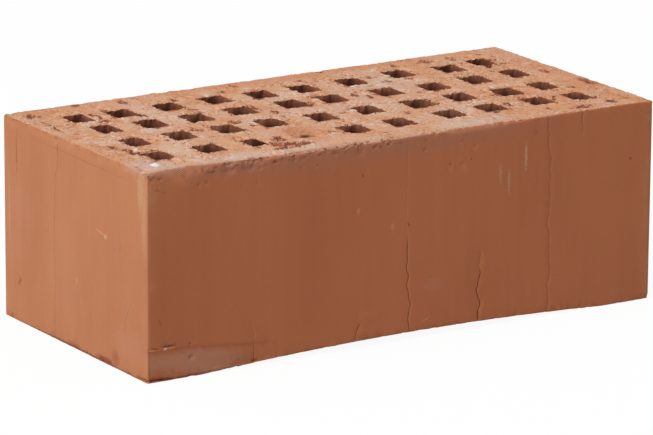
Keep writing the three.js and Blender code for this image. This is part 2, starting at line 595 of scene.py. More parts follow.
# fmt: off
FRONT_CRACKS = (
    Crack(
        ((0.3, 86), (-0.2, 50), (0.6, 43), (0.4, 31), (0.9, 20), (2.1, 14.5), (1.1, 9), (2.3, 0)),
        width=0.26, depth=0.2, gapes=(3, 40), faint=0.1, jag=1.0,
    ),
    Crack(
        ((37.4, 33), (37.2, 27), (36.4, 20), (35.4, 16.5), (36.3, 13), (37, 10), (36.2, 6),
         (37.3, 0)),
        width=0.3, depth=0.5, gapes=(4, 21), faint=0.2, jag=1.3,
    ),
    Crack(
        ((70.7, 90), (71.2, 76), (72.3, 69), (72, 60), (72.4, 50), (71.2, 43), (72, 35),
         (72.4, 26), (72.8, 20), (71.6, 13), (72.4, 7), (71.5, -1)),
        width=0.26, depth=0.12, gapes=(99, 100), faint=0.55, jag=1.2,
    ),
    Crack(
        ((88.9, 90), (88.1, 83), (88.8, 80.5), (88.5, 78)),
        width=0.25, depth=0.12, gapes=(86, 90), faint=0.55, jag=0.8,
    ),
    Crack(
        ((-76, 19), (-74.8, 15), (-74.2, 11), (-74.4, 0)),
        width=0.2, depth=0.1, gapes=(0, 5), faint=0.5,
    ),
    Crack(((-23, 10), (-24.5, 7), (-25.2, 4)), depth=0.15),
)
LEFT_CRACKS = (
    Crack(
        ((15, 90), (14, 84), (13.1, 78), (14.2, 74), (15.8, 69.5), (16.3, 63), (16.5, 55),
         (17.1, 46), (16.7, 34), (16.2, 26), (16.8, 14), (17.1, -1)),
        width=0.26, depth=0.12, gapes=(84, 90), faint=0.55, jag=1.0,
    ),
)
SEAL_CRACKS = (
    Crack(((-37.9, -38.4), (-36.8, -35.6), (-37.0, -33.4), (-39.0, -30.4)), 2.2, 2.0, jag=1.0),
)
BED_CRACKS = (
    Crack(
        ((-118, 42), (-117.5, 35), (-118.3, 27), (-118.7, 17), (-118, 10), (-117.5, -6),
         (-118, -28)),
        width=0.6, depth=0.7, gapes=(22, 42), faint=0.35, jag=0.8,
    ),
)
# The numbers of an oval are along, level, length, width, amount and turn.
PATCHES = ovals(bed=(
    (-116.4, 50, 6, 9, 0.5), (-93.6, 39.6, 3, 8, 0.8, 8), (-92.7, 33.9, 2.4, 6, 0.7),
    (-94, 27.8, 5, 4.5, 0.9), (-111.1, -24.1, 5, 16, 1, 8), (-114.4, -13, 3, 5, 0.5),
    (-51.6, -43.6, 9, 10, 1.3, 12), (-43.4, -46.9, 14, 7, 1.4, -5), (-51, -50, 17, 4),
    (-48, -36.3, 7, 9, 1.3), (-45.5, -32.7, 4, 3, 0.9), (-75.8, 27.8, 4, 6, 0.9, 20),
    (-71.3, 52.2, 4, 9, 0.6), (-51.1, 45.6, 5, 5, 0.8), (-51.6, 26.3, 4, 5, 0.8),
    (-69.3, -4.8, 4, 8, 0.6, 10), (-81.4, 6, 3, 4, 0.5), (-102.3, -26.3, 4, 4, 0.6),
    (-88.2, -15.1, 3, 4, 0.7), (-48.8, -1.8, 6, 6, 0.6), (-44, -11.2, 3, 6, 0.9, 20),
    (-29.3, 15.2, 4, 9, 0.6, 10), (-28.3, 19.2, 3, 5, 0.6), (-4.7, 9.6, 7, 7, 1.1, 40),
    (-25.1, 4.1, 4, 6, 0.8), (-18.3, 29.2, 4, 8, 0.6, 20), (-25.3, 47.2, 4, 5, 0.6),
    (-15.3, 54.2, 4, 6, 0.6), (-91.3, 58.2, 4, 5, 0.6), (-0.3, -10.8, 3, 4, 0.6),
    (-4.5, -49.6, 3, 4, 1.1), (-23, -59, 4, 3, 0.8), (-23, -36.2, 4, 3.5, 0.9),
    (44.3, 38.4, 6, 5, 0.7), (46.9, 27.6, 6, 5, 0.8, 30), (57.9, 27.6, 3.4, 4, 0.8),
    (65.5, 51, 4, 6, 0.7), (81.6, 51.4, 8, 6, 0.7, 20), (94.4, 50.1, 5, 5, 0.8),
    (109.7, 51.2, 4, 5, 0.6), (108.8, 39.6, 5, 6, 1.1, 20), (101, 29.6, 5, 5, 1.1),
    (110.5, 30.8, 4, 4, 0.9), (20.8, 13.4, 4, 7, 0.7), (24.3, 7.4, 4, 6, 0.7), (47.9, 3.6, 4, 4, 0.8),
    (40.2, -15.1, 11, 6, 1.5, 8), (33.5, -19.2, 6, 4, 0.9), (42.5, -10, 4, 5, 1.3, 10),
    (74, -17.2, 6, 5, 0.9), (55.6, -43.4, 4, 3, 0.8), (65.5, -41.6, 3, 3, 0.7),
    (48.8, -52.5, 2, 4.5, 1.3, -10), (78.9, -49.1, 3.2, 3.5, 1.4), (92.4, -53.2, 12, 5.5, 1.1, 6),
    (108.5, -52.2, 5, 6, 0.9, -30), (121.8, -15, 5, 15), (116.6, 9.5, 4, 8, 0.5),
    (108.6, -21.6, 6, 4, 0.5), (23.1, -24, 4, 6, 0.5), (67.9, -33.9, 3.5, 8, 0.8),
    (14.3, -37.6, 3, 5, 0.7), (15.1, 47, 4, 5, 0.5), (-108.4, -40.8, 2.5, 5, 1.4, -30),
    (91.7, -34.1, 1.6, 10, 1.5, -32), (108.7, -41.6, 2.4, 4, 1.5, -30), (-86.4, -59.4, 6, 5, 0.8),
    (-74.5, -59.4, 9, 5, 0.8), (-122.5, -49.5, 2, 8, 0.9), (77.8, -18.6, 3, 3, 0.7),
    (30.9, 58.6, 5, 4, 0.8), (-34.1, 59.1, 5, 3, 0.8),
))
DUST = ovals(bed=(
    (-111, -4, 18, 14), (-96, -50, 20, 16), (-92, -32, 16, 30, 1, 10), (-83, 5, 12, 18),
    (-70, 30, 14, 56), (-98, 30, 10, 16), (-12, 30, 40, 24), (-35, -5, 34, 14), (-70, -54, 90, 16),
    (44, 32, 46, 50), (34, -52, 44, 14), (80, -3, 36, 12), (62, -26, 30, 16), (8, -6, 44, 40),
))
DENTS = ovals(front=(
    (-104, 8.3, 3, 2.4, 0.5), (-18, 13, 10, 4.6, -0.22, 12), (-74, 0.5, 4, 4, 1.6),
    (8.5, 80.8, 1.6, 1.2, 0.4), (21.6, 73.1, 1.4, 1.2, 0.4), (27.5, 72.8, 1.4, 1.2, 0.4, 20),
    (33.6, 79.3, 1.4, 1.4, 0.4), (114, 63.6, 1.6, 1.6, 0.4), (-85, 85, 3.6, 5, 0.2, 20),
    (-74, 85, 6, 5, 0.15, 20), (-120, -0.6, 15, 4, 1.6), (124.4, 0.3, 4, 3, 0.6),
), left=(
    (47, 18.5, 2.2, 4.2, 0.9, 20), (49.2, 16.8, 1.6, 2, -0.3), (15, 86, 2.4, 3.4, 1.1),
    (49.2, 68, 1.8, 3, 0.5), (41.8, 30.5, 1.2, 5, 0.35), (-34.5, 3, 2.6, 7, 0.5),
    (-25, 1, 13, 2.6, 0.9), (-56, -0.6, 15, 4, 1.6), (1, 0.8, 13, 2.2, 0.7), (57.5, 0.3, 4, 3, 0.7),
), bed=(
    (-56, -20, 5.4, 3, -0.5, 35), (-7.5, 8.5, 2.6, 2.2, -0.5), (-4.8, 6, 1.8, 1.6, -0.4),
    (94.5, 49.5, 2.2, 1.6, -0.4), (33, -16.4, 2.4, 2, -0.4), (30.5, 28.5, 3, 1.6, -0.3),
))
# fmt: on


@dataclass
class Fineness:
    """How many cells of the grid each stretch of the brick gets."""

    arris: int = 6  # on the rounding of a bed's edge
    shell: int = 20  # from a face to the first perforation, the arris included
    core_along: int = 15
    core_across: int = 16
    web_along: int = 16
    web_across: int = 16
    face_levels: int = 100
    crease_height: float = 9.0  # the levels crowd about the crease and the upper arris
    core_depths: tuple[float, ...] = (0.35, 0.9, 1.7, 2.8, 4.5, 8, 14, 24, 36)
    triangles: int = 197_000  # what is left after thinning
    spared: float = 0.04  # how much of a crack a point needs to be spared
    crisp_angle: float = 42.0  # degrees past which an edge shows as one


def outline_loop(grid: Array) -> Array:
    """The values on a grid's edge, counter-clockwise from above, from the front left corner."""
    return np.concatenate([grid[0, :-1], grid[:-1, -1], grid[-1, :0:-1], grid[:0:-1, 0]])


@dataclass
class BedGrid:
    """The grid of a bed in plan, with lines that run along the perforations' edges.

    A line along the brick has a place at each column of perforations and at each end. Between
    them its place eases from one to the next, and the same holds across the brick.
    """

    block: Block
    cores: Cores
    fineness: Fineness
    upper: bool
    plain_x: Array = field(init=False)  # lines across by lines along, before any drawing
    plain_y: Array = field(init=False)
    height: Array = field(init=False)
    numbers: Array = field(init=False)  # of its points, once they are in the surface

    def _shell(self, x: Array, y: Array, gap: Array) -> Array:
        """Places of the lines between a face and the first perforation.

        The first stand at equal steps of the arris's turn, in by R(1 - cos a), and the rest
        share what is left of the gap.

        Args:
            x: Where each line starts, along the brick.
            y: Where it starts, across it.
            gap: The distance from the face to the perforation.

        Returns:
            Distances in from the face, one row for each start.
        """
        radius, turn = (part[:, None] for part in self.block.arris_at(x, y, self.upper))
        cells, arris = self.fineness.shell, self.fineness.arris
        first = radius * (1 - np.cos(np.arange(arris + 1) / arris * turn))
        rest = np.arange(1, cells - arris + 1) / (cells - arris)
        return np.concatenate([first, first[:, -1:] + (gap[:, None] - first[:, -1:]) * rest], axis=1)

    @staticmethod
    def _middle(low: Array, high: Array, core: int, web: int) -> Array:
        """Places of the lines from the first perforation of a row to the last.

        Args:
            low: Where each perforation starts.
            high: Where it ends.
            core: Cells across a perforation.
            web: Cells across a web.

        Returns:
            The places.
        """
        places = [np.linspace(low[0], high[0], core + 1)]
        for n in range(1, len(low)):
            places.append(np.linspace(high[n - 1], low[n], web + 1)[1:])
            places.append(np.linspace(low[n], high[n], core + 1)[1:])
        return np.concatenate(places)

    @staticmethod
    def _shares(count: int, shell: int, core: int, web: int) -> Array:
        """How far each line is in the hold of each row of perforations and of the two faces.

        Args:
            count: Rows of perforations.
            shell: Cells between a face and the first row.
            core: Cells across a perforation.
            web: Cells across a web.

        Returns:
            One row for each line, with count + 2 shares that add up to 1.
        """
        held = [ease(np.arange(shell) / shell, 0, 1)]
        for n in range(1, count + 1):
            held.append(np.full(core, float(n)))
            if n < count:
                held.append(n + ease(np.arange(web) / web, 0, 1))
        held.append(count + ease(np.arange(shell + 1) / shell, 0, 1))
        return np.clip(1 - np.abs(np.concatenate(held)[:, None] - np.arange(count + 2)), 0, 1)

    def __post_init__(self) -> None:
        """Works out the places of the grid's points and their heights."""
        f, block, cores = self.fineness, self.block, self.cores
        half_x, half_y = block.length / 2, block.width / 2
        low, high = cores.mouths(self.upper)
        rows, columns = low.shape[:2]
        along, across = (f.core_along, f.web_along), (f.core_across, f.web_across)
        mid_x = [self._middle(low[n, :, 0], high[n, :, 0], *along) for n in range(rows)]
        mid_y = [self._middle(low[:, n, 1], high[:, n, 1], *across) for n in range(columns)]
        mean_x, mean_y = np.mean(mid_x, axis=0), np.mean(mid_y, axis=0)
        share_y = self._shares(rows, f.shell, *across)
        share_x = self._shares(columns, f.shell, *along)
        inner_x = share_y @ np.array([mean_x, *mid_x, mean_x])
        inner_y = (share_x @ np.array([mean_y, *mid_y, mean_y])).T

        guess_y = share_y @ np.concatenate([[-half_y], cores.middles()[:, 0, 1], [half_y]])
        ends = np.full(len(guess_y), half_x)
        left = self._shell(-ends, guess_y, inner_x[:, 0] + half_x)
        right = self._shell(ends, guess_y, half_x - inner_x[:, -1])
        x = np.concatenate([left[:, :-1] - half_x, inner_x, half_x - right[:, -2::-1]], axis=1)
        sides = np.full(x.shape[1], half_y)
        front = self._shell(x[0], -sides, inner_y[0] + half_y)
        back = self._shell(x[-1], sides, half_y - inner_y[-1])
        y = np.concatenate([front.T[:-1] - half_y, inner_y, half_y - back.T[-2::-1]], axis=0)

        inward = block.inward(x, y)
        radius, turn = block.arris_at(x, y, self.upper)
        turned = np.arccos(np.clip(1 - inward / radius, -1, 1))
        drop = radius * np.clip(np.sin(turn) - np.sin(np.minimum(turned, turn)), 0, None)
        self.plain_x, self.plain_y = x, y
        self.height = block.height - drop if self.upper else block.lower_bed(x) + drop

    def block_of(self, row: int, column: int) -> tuple[slice, slice]:
        """Where a perforation lies in the grid.

        Args:
            row: The perforation's row.
            column: Its column.

        Returns:
            Slices of the lines across and along, both edges of the perforation included.
        """
        f = self.fineness
        across = f.shell + row * (f.core_across + f.web_across)
        along = f.shell + column * (f.core_along + f.web_along)
        return slice(across, across + f.core_across + 1), slice(along, along + f.core_along + 1)


class Stretch(Enum):
    """The kinds of surface that the brick is made of."""

    BED = 0
    FACE = 1
    BORE = 2


@dataclass
class Surface:
    """Points and quads collected stretch by stretch."""

    points: list[Array] = field(default_factory=list)
    quads: list[Array] = field(default_factory=list)
    stretch: list[Array] = field(default_factory=list)
    depth: list[Array] = field(default_factory=list)  # below the nearer mouth
    count: int = 0

    def add_points(self, points: Array, stretch: Stretch, depth: Array | float = 0.0) -> Array:
        """Adds points and gives their numbers.

        Args:
            points: An array whose last axis is x, y, z.
            stretch: What they lie on.
            depth: How far they lie below the nearer mouth.

        Returns:
            The points' numbers, shaped as the array without its last axis.
        """
        shape = points.shape[:-1]
        size = int(np.prod(shape))
        numbers = np.arange(self.count, self.count + size).reshape(shape)
        self.points.append(points.reshape(-1, 3))
        self.stretch.append(np.full(size, stretch.value))
        self.depth.append(np.broadcast_to(depth, shape).ravel().astype(float))
        self.count += size
        return numbers

    def add_cells(self, numbers: Array, keep: Array | None = None) -> None:
        """Adds the cells of a grid of point numbers, each turned from the first axis to the second.

        Args:
            numbers: The grid.
            keep: Which cells to add; all of them where it is None.
        """
        cells = np.stack(
            [numbers[:-1, :-1], numbers[1:, :-1], numbers[1:, 1:], numbers[:-1, 1:]], axis=-1
        )
        self.quads.append(cells.reshape(-1, 4) if keep is None else cells[keep])

    def joined(self) -> tuple[Array, Array, Array, Array]:
        """Joins what was collected and drops points that no quad uses.

        Returns:
            Points, quads, the number of each point's stretch, and its depth.
        """
        quads = np.concatenate(self.quads)
        used, quads = np.unique(quads, return_inverse=True)
        return (
            np.concatenate(self.points)[used],
            quads.reshape(-1, 4),
            np.concatenate(self.stretch)[used],
            np.concatenate(self.depth)[used],
        )


def vertex_normals(points: Array, quads: Array) -> Array:
    """The normal at each point: the sum of its quads' crossed diagonals, made one long.

    Args:
        points: Points, n by 3.
        quads: Point numbers, m by 4.

    Returns:
        Normals, n by 3.
    """
    a, b, c, d = (points[quads[:, n]] for n in range(4))
    crossed = np.repeat(np.cross(c - a, d - b), 4, axis=0)
    total = np.stack(
        [np.bincount(quads.ravel(), crossed[:, axis], len(points)) for axis in range(3)], axis=1
    )
    return total / np.maximum(np.linalg.norm(total, axis=1), TINY)[:, None]


@dataclass
class BlockSurface:
    """The block's whole surface before any relief: beds, faces and perforations."""

    block: Block
    cores: Cores
    fineness: Fineness
    surface: Surface = field(default_factory=Surface)
    upper: BedGrid = field(init=False)
    lower: BedGrid = field(init=False)

    def build(self) -> Surface:
        """Collects the beds, the faces between them and the walls of the perforations.

        Returns:
            The surface.
        """
        self.upper = BedGrid(self.block, self.cores, self.fineness, upper=True)
        self.lower = BedGrid(self.block, self.cores, self.fineness, upper=False)
        for bed in (self.upper, self.lower):
            bed.numbers = self.surface.add_points(self._bed(bed), Stretch.BED)
        self.surface.add_cells(self.upper.numbers.T, self._webs(self.upper).T)
        self.surface.add_cells(self.lower.numbers, self._webs(self.lower))
        self._faces()
        for row, column in np.ndindex(*self.cores.low.shape[:2]):
            self._core(row, column)
        return self.surface

    def _webs(self, bed: BedGrid) -> Array:
        """The bed's cells that are clay, the sealed mouth's cells on the upper bed among them.

        Args:
            bed: The bed's grid.

        Returns:
            True for each cell that stays.
        """
        keep = np.ones(np.subtract(bed.plain_x.shape, 1), bool)
        for row, column in np.ndindex(*self.cores.low.shape[:2]):
            if bed.upper and (row, column) == self.cores.sealed:
                continue
            across, along = bed.block_of(row, column)
            keep[across.start : across.stop - 1, along.start : along.stop - 1] = False
        return keep

    def _drawn(self, x: Array, y: Array, z: Array, upper: bool = False) -> Array:
        """Moves plain grid points onto the cracks' paths, and rounds the block's corners.

        Args:
            x: Places along the brick.
            y: Places across it.
            z: Heights.
            upper: The points lie on the upper bed, which has cracks of its own.

        Returns:
            The points.
        """
        block = self.block
        near_front = ease(y + block.width / 2, 9.0, 1.0)
        near_left = ease(x + block.length / 2, 9.0, 1.0)
        shift_x = sum(crack.draw(x, z) for crack in FRONT_CRACKS) * near_front
        shift_y = sum(crack.draw(y, z) for crack in LEFT_CRACKS) * near_left
        if upper:
            inner = ease(block.inward(x, y), 1.0, 5.0)
            shift_x = shift_x + sum(crack.draw(x, y) for crack in BED_CRACKS) * inner
        return np.stack([*block.round_corners(x + shift_x, y + shift_y), z], axis=-1)

    def _bed(self, bed: BedGrid) -> Array:
        """A bed's points, with the mouths of its perforations rounded and torn.

        Near a perforation a point moves along its ray from the perforation's middle, by the
        rounding of the corners, plus noise, plus a tail at the corner that the wire dragged
        open. It moves in full at the mouth, and less and less away from it.

        Args:
            bed: The bed's grid.

        Returns:
            Points, lines across by lines along by 3.
        """
        x, y = bed.plain_x.copy(), bed.plain_y.copy()
        flat = np.stack([x, y, np.full(x.shape, BEDS_APART * bed.upper)], axis=-1).reshape(-1, 3)
        ragged = Noise(41).fractal(flat, 1.8, 2) * 0.9 + Noise(42).at(flat, 6.0) * 0.4
        tails = np.clip(1.6 * Noise(43).at(flat, 9.0) - 0.3, 0, 1.0).reshape(x.shape)
        ragged = ragged.reshape(x.shape)
        mouth_low, mouth_high = self.cores.mouths(bed.upper)
        half = (mouth_high - mouth_low) / 2
        for row, column in np.ndindex(*half.shape[:2]):
            area = tuple(
                slice(lines.start - MOUTH_LINES, lines.stop + MOUTH_LINES)
                for lines in bed.block_of(row, column)
            )
            middle = (mouth_low + mouth_high)[row, column] / 2
            way = np.stack([bed.plain_x[area], bed.plain_y[area]], axis=-1) - middle
            size = half[row, column]
            reach = np.maximum((np.abs(way) / size).max(-1), TINY)
            nearer = round_box(way / reach[..., None], size, self.block.mouth_radius)
            beyond = (np.abs(way) - size).max(-1)
            fade = np.where(beyond > 0, ease(beyond, TORN_REACH, 0), np.clip(reach, 0, 1))
            length = np.maximum(np.linalg.norm(way, axis=-1), TINY)
            skew = (way @ (size * [1, -1])) / (length * np.linalg.norm(size))
            tail = tails[area] * ease(-skew, 0.94, 1.0)
            behind = 1 + 0.9 * ease(way[..., 1] / size[1], 0.6, 0.95)
            stretch = (nearer - 1) * fade + (ragged[area] * behind + tail) * fade / length
            x[area] += way[..., 0] * stretch
            y[area] += way[..., 1] * stretch
        return self._drawn(x, y, bed.height, bed.upper)

    def _faces(self) -> None:
        """Adds the four faces: level lines from the lower bed's outline to the upper bed's."""
        foot, head = (
            [outline_loop(part) for part in (bed.plain_x, bed.plain_y, bed.height)]
            for bed in (self.lower, self.upper)
        )
        share = self._level_shares()
        x, y, z = (low[:, None] + (high - low)[:, None] * share for low, high in zip(foot, head))
        between = self.surface.add_points(self._drawn(x, y, z), Stretch.FACE)
        first, last = (outline_loop(bed.numbers)[:, None] for bed in (self.lower, self.upper))
        numbers = np.concatenate([first, between, last], axis=1)
        self.surface.add_cells(np.concatenate([numbers, numbers[:1]]))

    def _level_shares(self) -> Array:
        """Where the faces' level lines lie, as shares of the height.

        Lines lie where the running sum of a density passes equal steps. The density is 1, with
        bells of 1.6 about the crease and of 1 near the upper bed.

        Returns:
            The shares.
        """
        height, levels = self.block.height, self.fineness.face_levels
        z = np.linspace(0, height, 2000)
        density = 1 + 1.6 * np.exp(-(((z - self.fineness.crease_height) / 5) ** 2))
        density += np.exp(-(((z - height + 4) / 5) ** 2))
        whole = np.cumsum(density)
        steps = np.arange(1, levels) / levels
        return np.interp(steps, (whole - whole[0]) / (whole[-1] - whole[0]), z / height)

    def _core(self, row: int, column: int) -> None:
        """Adds the wall of a perforation, and a roof where it is sealed.

        Rings go down from the upper mouth and up from the lower. Each is the perforation's own
        rounded outline plus what the mouth departs from it, which dies away in the first 3 mm.

        Args:
            row: The perforation's row.
            column: Its column.
        """
        surface, upper = self.surface, self.upper
        area = upper.block_of(row, column)
        middle = self.cores.middles()[row, column]
        half = (self.cores.high - self.cores.low)[row, column] / 2
        mouth_low, mouth_high = (corner[row, column] for corner in self.cores.mouths())
        plain = np.stack([upper.plain_x[area], upper.plain_y[area]], axis=-1)
        plain = (plain - (mouth_low + mouth_high) / 2) * half / ((mouth_high - mouth_low) / 2)
        reach = np.maximum((np.abs(plain) / half).max(-1), TINY)[..., None]
        nearer = round_box(plain / reach, half, self.block.core_radius)
        bore = middle + plain * (1 + (nearer[..., None] - 1) * reach)
        ring = outline_loop(bore)
        all_points = np.concatenate(surface.points)
        foot = outline_loop(self.lower.numbers[area])
        depth = np.array(self.fineness.core_depths)
        rising = self._rings(ring, all_points[foot], depth, 1.0)
        below = surface.add_points(rising, Stretch.BORE, depth)
        columns = [foot[:, None], below]
        if (row, column) == self.cores.sealed:
            level = self.cores.seal_level
            roof = np.concatenate([bore, np.full((*bore.shape[:2], 1), level)], axis=-1)
            roof_numbers = surface.add_points(roof, Stretch.BORE, level)
            surface.add_cells(roof_numbers)
            columns.append(outline_loop(roof_numbers)[:, None])
        else:
            head = outline_loop(upper.numbers[area])
            falling = self._rings(ring, all_points[head], depth, -1.0)
            above = surface.add_points(falling, Stretch.BORE, depth)
            columns += [above[:, ::-1], head[:, None]]
        numbers = np.concatenate(columns, axis=1)[:, ::-1]
        surface.add_cells(np.concatenate([numbers, numbers[:1]]))

    @staticmethod
    def _rings(ring: Array, mouth: Array, depth: Array, up: float) -> Array:
        """Rings of a perforation's wall, from its mouth inwards.

        Args:
            ring: The perforation's own outline, n by 2.
            mouth: The mouth's points, n by 3.
            depth: How deep each ring lies.
            up: 1 from the lower mouth, -1 from the upper.

        Returns:
            Points, n by rings by 3.
        """
        left = (1 - ease(depth, 0.0, MOUTH_DEPTH))[:, None]
        plan = ring[:, None] + (mouth[:, None, :2] - ring[:, None]) * left
        height = mouth[:, None, 2] + up * depth
        return np.concatenate([plan, height[..., None]], axis=-1)


# ---- What pressing, cutting, drying and handling left on it ----


@dataclass
class Relief:
    """The relief of the whole brick, as depths cut in along the surface's normals."""

    block: Block
    cores: Cores
    places: Array  # the plain surface's points in millimetres, n by 3
    normals: Array
    stretch: Array  # the number of each point's stretch
    depth: Array  # how far each point lies below the nearer mouth
    seal_size: tuple[float, float] = (18.0, 20.0)
    seal_shift: tuple[float, float] = (2.4, 5.5)  # from the sealed perforation to the smear
    bore: Array = field(init=False)  # 1 on the perforations' walls
    up: Array = field(init=False)  # how far each point of the outside looks up
    down: Array = field(init=False)
    side: Array = field(init=False)
    gap: Array = field(init=False)  # how far each point lies from a mouth, in plan

    def __post_init__(self) -> None:
        """Works out which way each point looks, and how near a mouth it lies."""
        self.bore = (self.stretch == Stretch.BORE.value).astype(float)
        self.up = ease(self.normals[:, 2], 0.05, 0.8) * (1 - self.bore)
        self.down = ease(-self.normals[:, 2], 0.05, 0.8) * (1 - self.bore)
        self.side = (1 - self.up - self.down) * (1 - self.bore)
        self.gap = self._mouth_gap()

    def cut(self) -> tuple[Array, dict[str, Array]]:
        """Works out how deep each point is cut, and what the finish needs to know of it.

        Returns:
            The depths, and a mask for each name that the finish reads: from 0 to 1, but from
            -1 to 1 for grit.
        """
        up, down, side, bore = self.up, self.down, self.side, self.bore
        torn, torn_depth = self._torn()
        crack, crack_depth = self._cracks()
        nibble, worn = self._arrises()
        bed, strewn = self._bed_level(torn)
        cut = bed * (up + 0.25 * down)
        cut += self._face_level() * side
        cut += self._bore_level() * bore
        cut += self._lips() * up
        cut += self._seal() * up
        cut += self._crease() * side
        cut += self._dents()
        cut += torn_depth + crack_depth + nibble
        bloomed = self._bloomed()
        masks = {
            "bed": bloomed,
            "bore": bore,
            # painted shade on the perforations' walls, deep down and in their back right corners
            "deep": self._painted_bore_shade() * bore,
            "torn": np.clip(torn + ease(nibble, 0.5, 1.3) * 0.7, 0, 1),
            "crack": crack,
            "worn": worn,
            "dust": self._dust() * up,
            "seal": ease(self._seal_reach(), 1.1, 0.75) * up,
            "rim": ease(self.gap, 2.6, -0.4) * up,
            "grit": strewn * np.clip(up + down, 0, 1),
            "header": ease(np.abs(self.normals[:, 0]), 0.3, 0.8) * side,
            "combed": self._combed() * (1 - bloomed) * (1 - bore),
        }
        return cut, masks

    def _noise(self, seed: int, size: Size, octaves: int = 1) -> Array:
        """Noise at the surface's points."""
        return Noise(seed).fractal(self.places, size, octaves)

    def _bed_level(self, torn: Array) -> tuple[Array, Array]:
        """The bed as the wire left it: broad waves, grain, rough spots, and strewn grains.

        Args:
            torn: The mask of torn patches, where the grain is coarser.

        Returns:
            Depths, and the strewn grains by themselves, from -1 where they stand to 1 in a pit.
        """
        level = 0.30 + 0.06 * self._noise(4, 48.0, 2)
        level += 0.07 * self._noise(5, 8.0, 3)
        near_mouth = ease(self.gap, 4.0, 0.5)
        rough = ease(self._noise(6, 13.0, 2) + 0.35 * near_mouth, -0.1, 0.45)
        rough = np.maximum(0.2 + 0.8 * rough, torn)
        coarse, fine = Noise(8).grains(self.places, 3.2, 0.5), Noise(9).grains(self.places, 1.8, 0.7)
        strewn = rough * (coarse + fine)
        level += strewn * np.where(strewn > 0, 1.4, 1.0)
        level += 0.15 * rough * self._noise(7, 1.6, 2)
        return level, np.clip(strewn * 2.5, -1, 1)

    def _bloomed(self) -> Array:
        """Where the beds' bloom lies: up to the edge in which an arris ends.

        In two stretches of the front the edge is crisp. Elsewhere the bloom strays over half of
        the arris, and at the left corner over all of it.

        Returns:
            A mask.
        """
        block = self.block
        x, y, z = self.places.T
        inward = block.inward(x, y)
        upper = z > block.height / 2
        radius, turn = block.arris_at(x, y, True)
        edge = radius * (1 - np.cos(turn)) * np.where(upper, 1.0, 0.0)
        crisp = ease(x, -60.0, -72.0) * ease(x, -124.0, -117.0)
        crisp += 0.8 * ease(x, 18.0, 24.0) * ease(x, 62.0, 54.0)
        thick = 0.5 + 0.4 * ease(x, -65.0, -50.0) * ease(x, 75.0, 45.0)
        thick += 0.6 * ease(x, -118.0, -123.0)
        stray = (1 - crisp) * (thick + 0.5 * self._noise(52, 3.5, 3))
        outside = inward - edge * (1 - stray) - 0.25 * self._noise(53, 2.4, 2)
        outside = np.minimum(outside, 2 * inward - 0.35)
        top = ease(z, block.height - 4.5, block.height - 1.5)
        foot = ease(z - block.lower_bed(x), 0.6, 0.1)
        return ease(outside, -0.35, 0.3) * np.maximum(top, foot) * (1 - self.bore)

    def _combed(self) -> Array:
        """Where the rolled arris near the left end is combed by fine slanting lines.

        Returns:
            A mask.
        """
        comb = Oval(Side.FRONT, -108.0, 88.8, 15.0, 8.0, turn=-4.0)
        ragged = 0.2 * self._noise(54, 5.0)
        return ease(self.places[:, 1], -48, -52) * ease(comb.reach(self.places) + ragged, 1.1, 0.7)

    def _face_level(self) -> Array:
        """A face as the die left it: broad waves and fine drag lines that run upright.

        Returns:
            Depths.
        """
        level = 0.05 + 0.05 * self._noise(14, (70.0, 70.0, 90.0), 2)
        level += 0.03 * self._noise(15, (3.0, 3.0, 120.0))
        level += 0.015 * self._noise(16, (1.3, 1.3, 60.0))
        return level + 0.02 * self._noise(17, 2.5)

    def _bore_level(self) -> Array:
        """A perforation's wall: upright drag lines, and a ragged rim that dies away downwards."""
        rim = 0.30 * self._noise(19, (1.3, 1.3, 3.0)) * ease(self.depth, 5.0, 0.3)
        return 0.06 * self._noise(18, (1.6, 1.6, 30.0)) + rim

    def _painted_bore_shade(self) -> Array:
        """Painted shade on a perforation's wall: deep down, and in its back right corner.

        Returns:
            A mask.
        """
        away = np.full(len(self.places), FAR)
        for corner in self.cores.high.reshape(-1, 2):
            away = np.minimum(away, np.hypot(*(self.places[:, :2] - corner).T))
        corner_shade = ease(away, 9.0, 1.5)
        deep = ease(self.depth, 0.0, 8.0) * (0.45 + 0.55 * corner_shade)
        return np.clip(deep + 0.5 * corner_shade * ease(self.depth, 0.0, 2.5), 0, 1)

    def _mouth_gap(self) -> Array:
        """Distance in plan from the nearest open mouth, halved behind it, where it is torn.

        Returns:
            Distances; below 0 inside a mouth.
        """
        plan = self.places[:, :2]
        gap = np.full(len(plan), FAR)
        middles = self.cores.middles()
        mouth_low, mouth_high = self.cores.mouths()
        for row, column in np.ndindex(*middles.shape[:2]):
            if (row, column) == self.cores.sealed:
                continue
            near = np.flatnonzero(np.abs(plan - middles[row, column]).max(1) < MOUTH_REACH)
            low = mouth_low[row, column] - plan[near]
            high = (plan[near] - mouth_high[row, column]) * [1.0, 0.5]
            gap[near] = np.minimum(gap[near], np.maximum(low, high).max(1))
        return gap

    def _lips(self) -> Array:
        """Burrs and crumbled stretches round the mouths, a millimetre or so wide.

        Returns:
            Depths, by a bell about the mouths' edges.
        """
        near = np.exp(-((self.gap / 1.3) ** 2))
        swell = self._noise(21, 6.0, 2) + 0.1
        crumbled = np.clip(self._noise(22, 2.2, 2) + 0.35, 0, None)
        return near * (np.where(swell > 0, 1.6 * swell * crumbled, 0.25 * swell) + 0.1)

    def _from_seal(self, shift: tuple[float, float]) -> Array:
        """The way in plan to each point from a place beside the sealed perforation's middle."""
        return self.places[:, :2] - self.cores.middles()[self.cores.sealed] - shift

    def _seal_reach(self) -> Array:
        """How far out each place lies from the smeared mouth, 1 on the smear's outline."""
        away = self._from_seal(self.seal_shift) / np.array(self.seal_size) * 2
        return np.hypot(away[:, 0], away[:, 1]) + 0.12 * self._noise(23, 6.0)

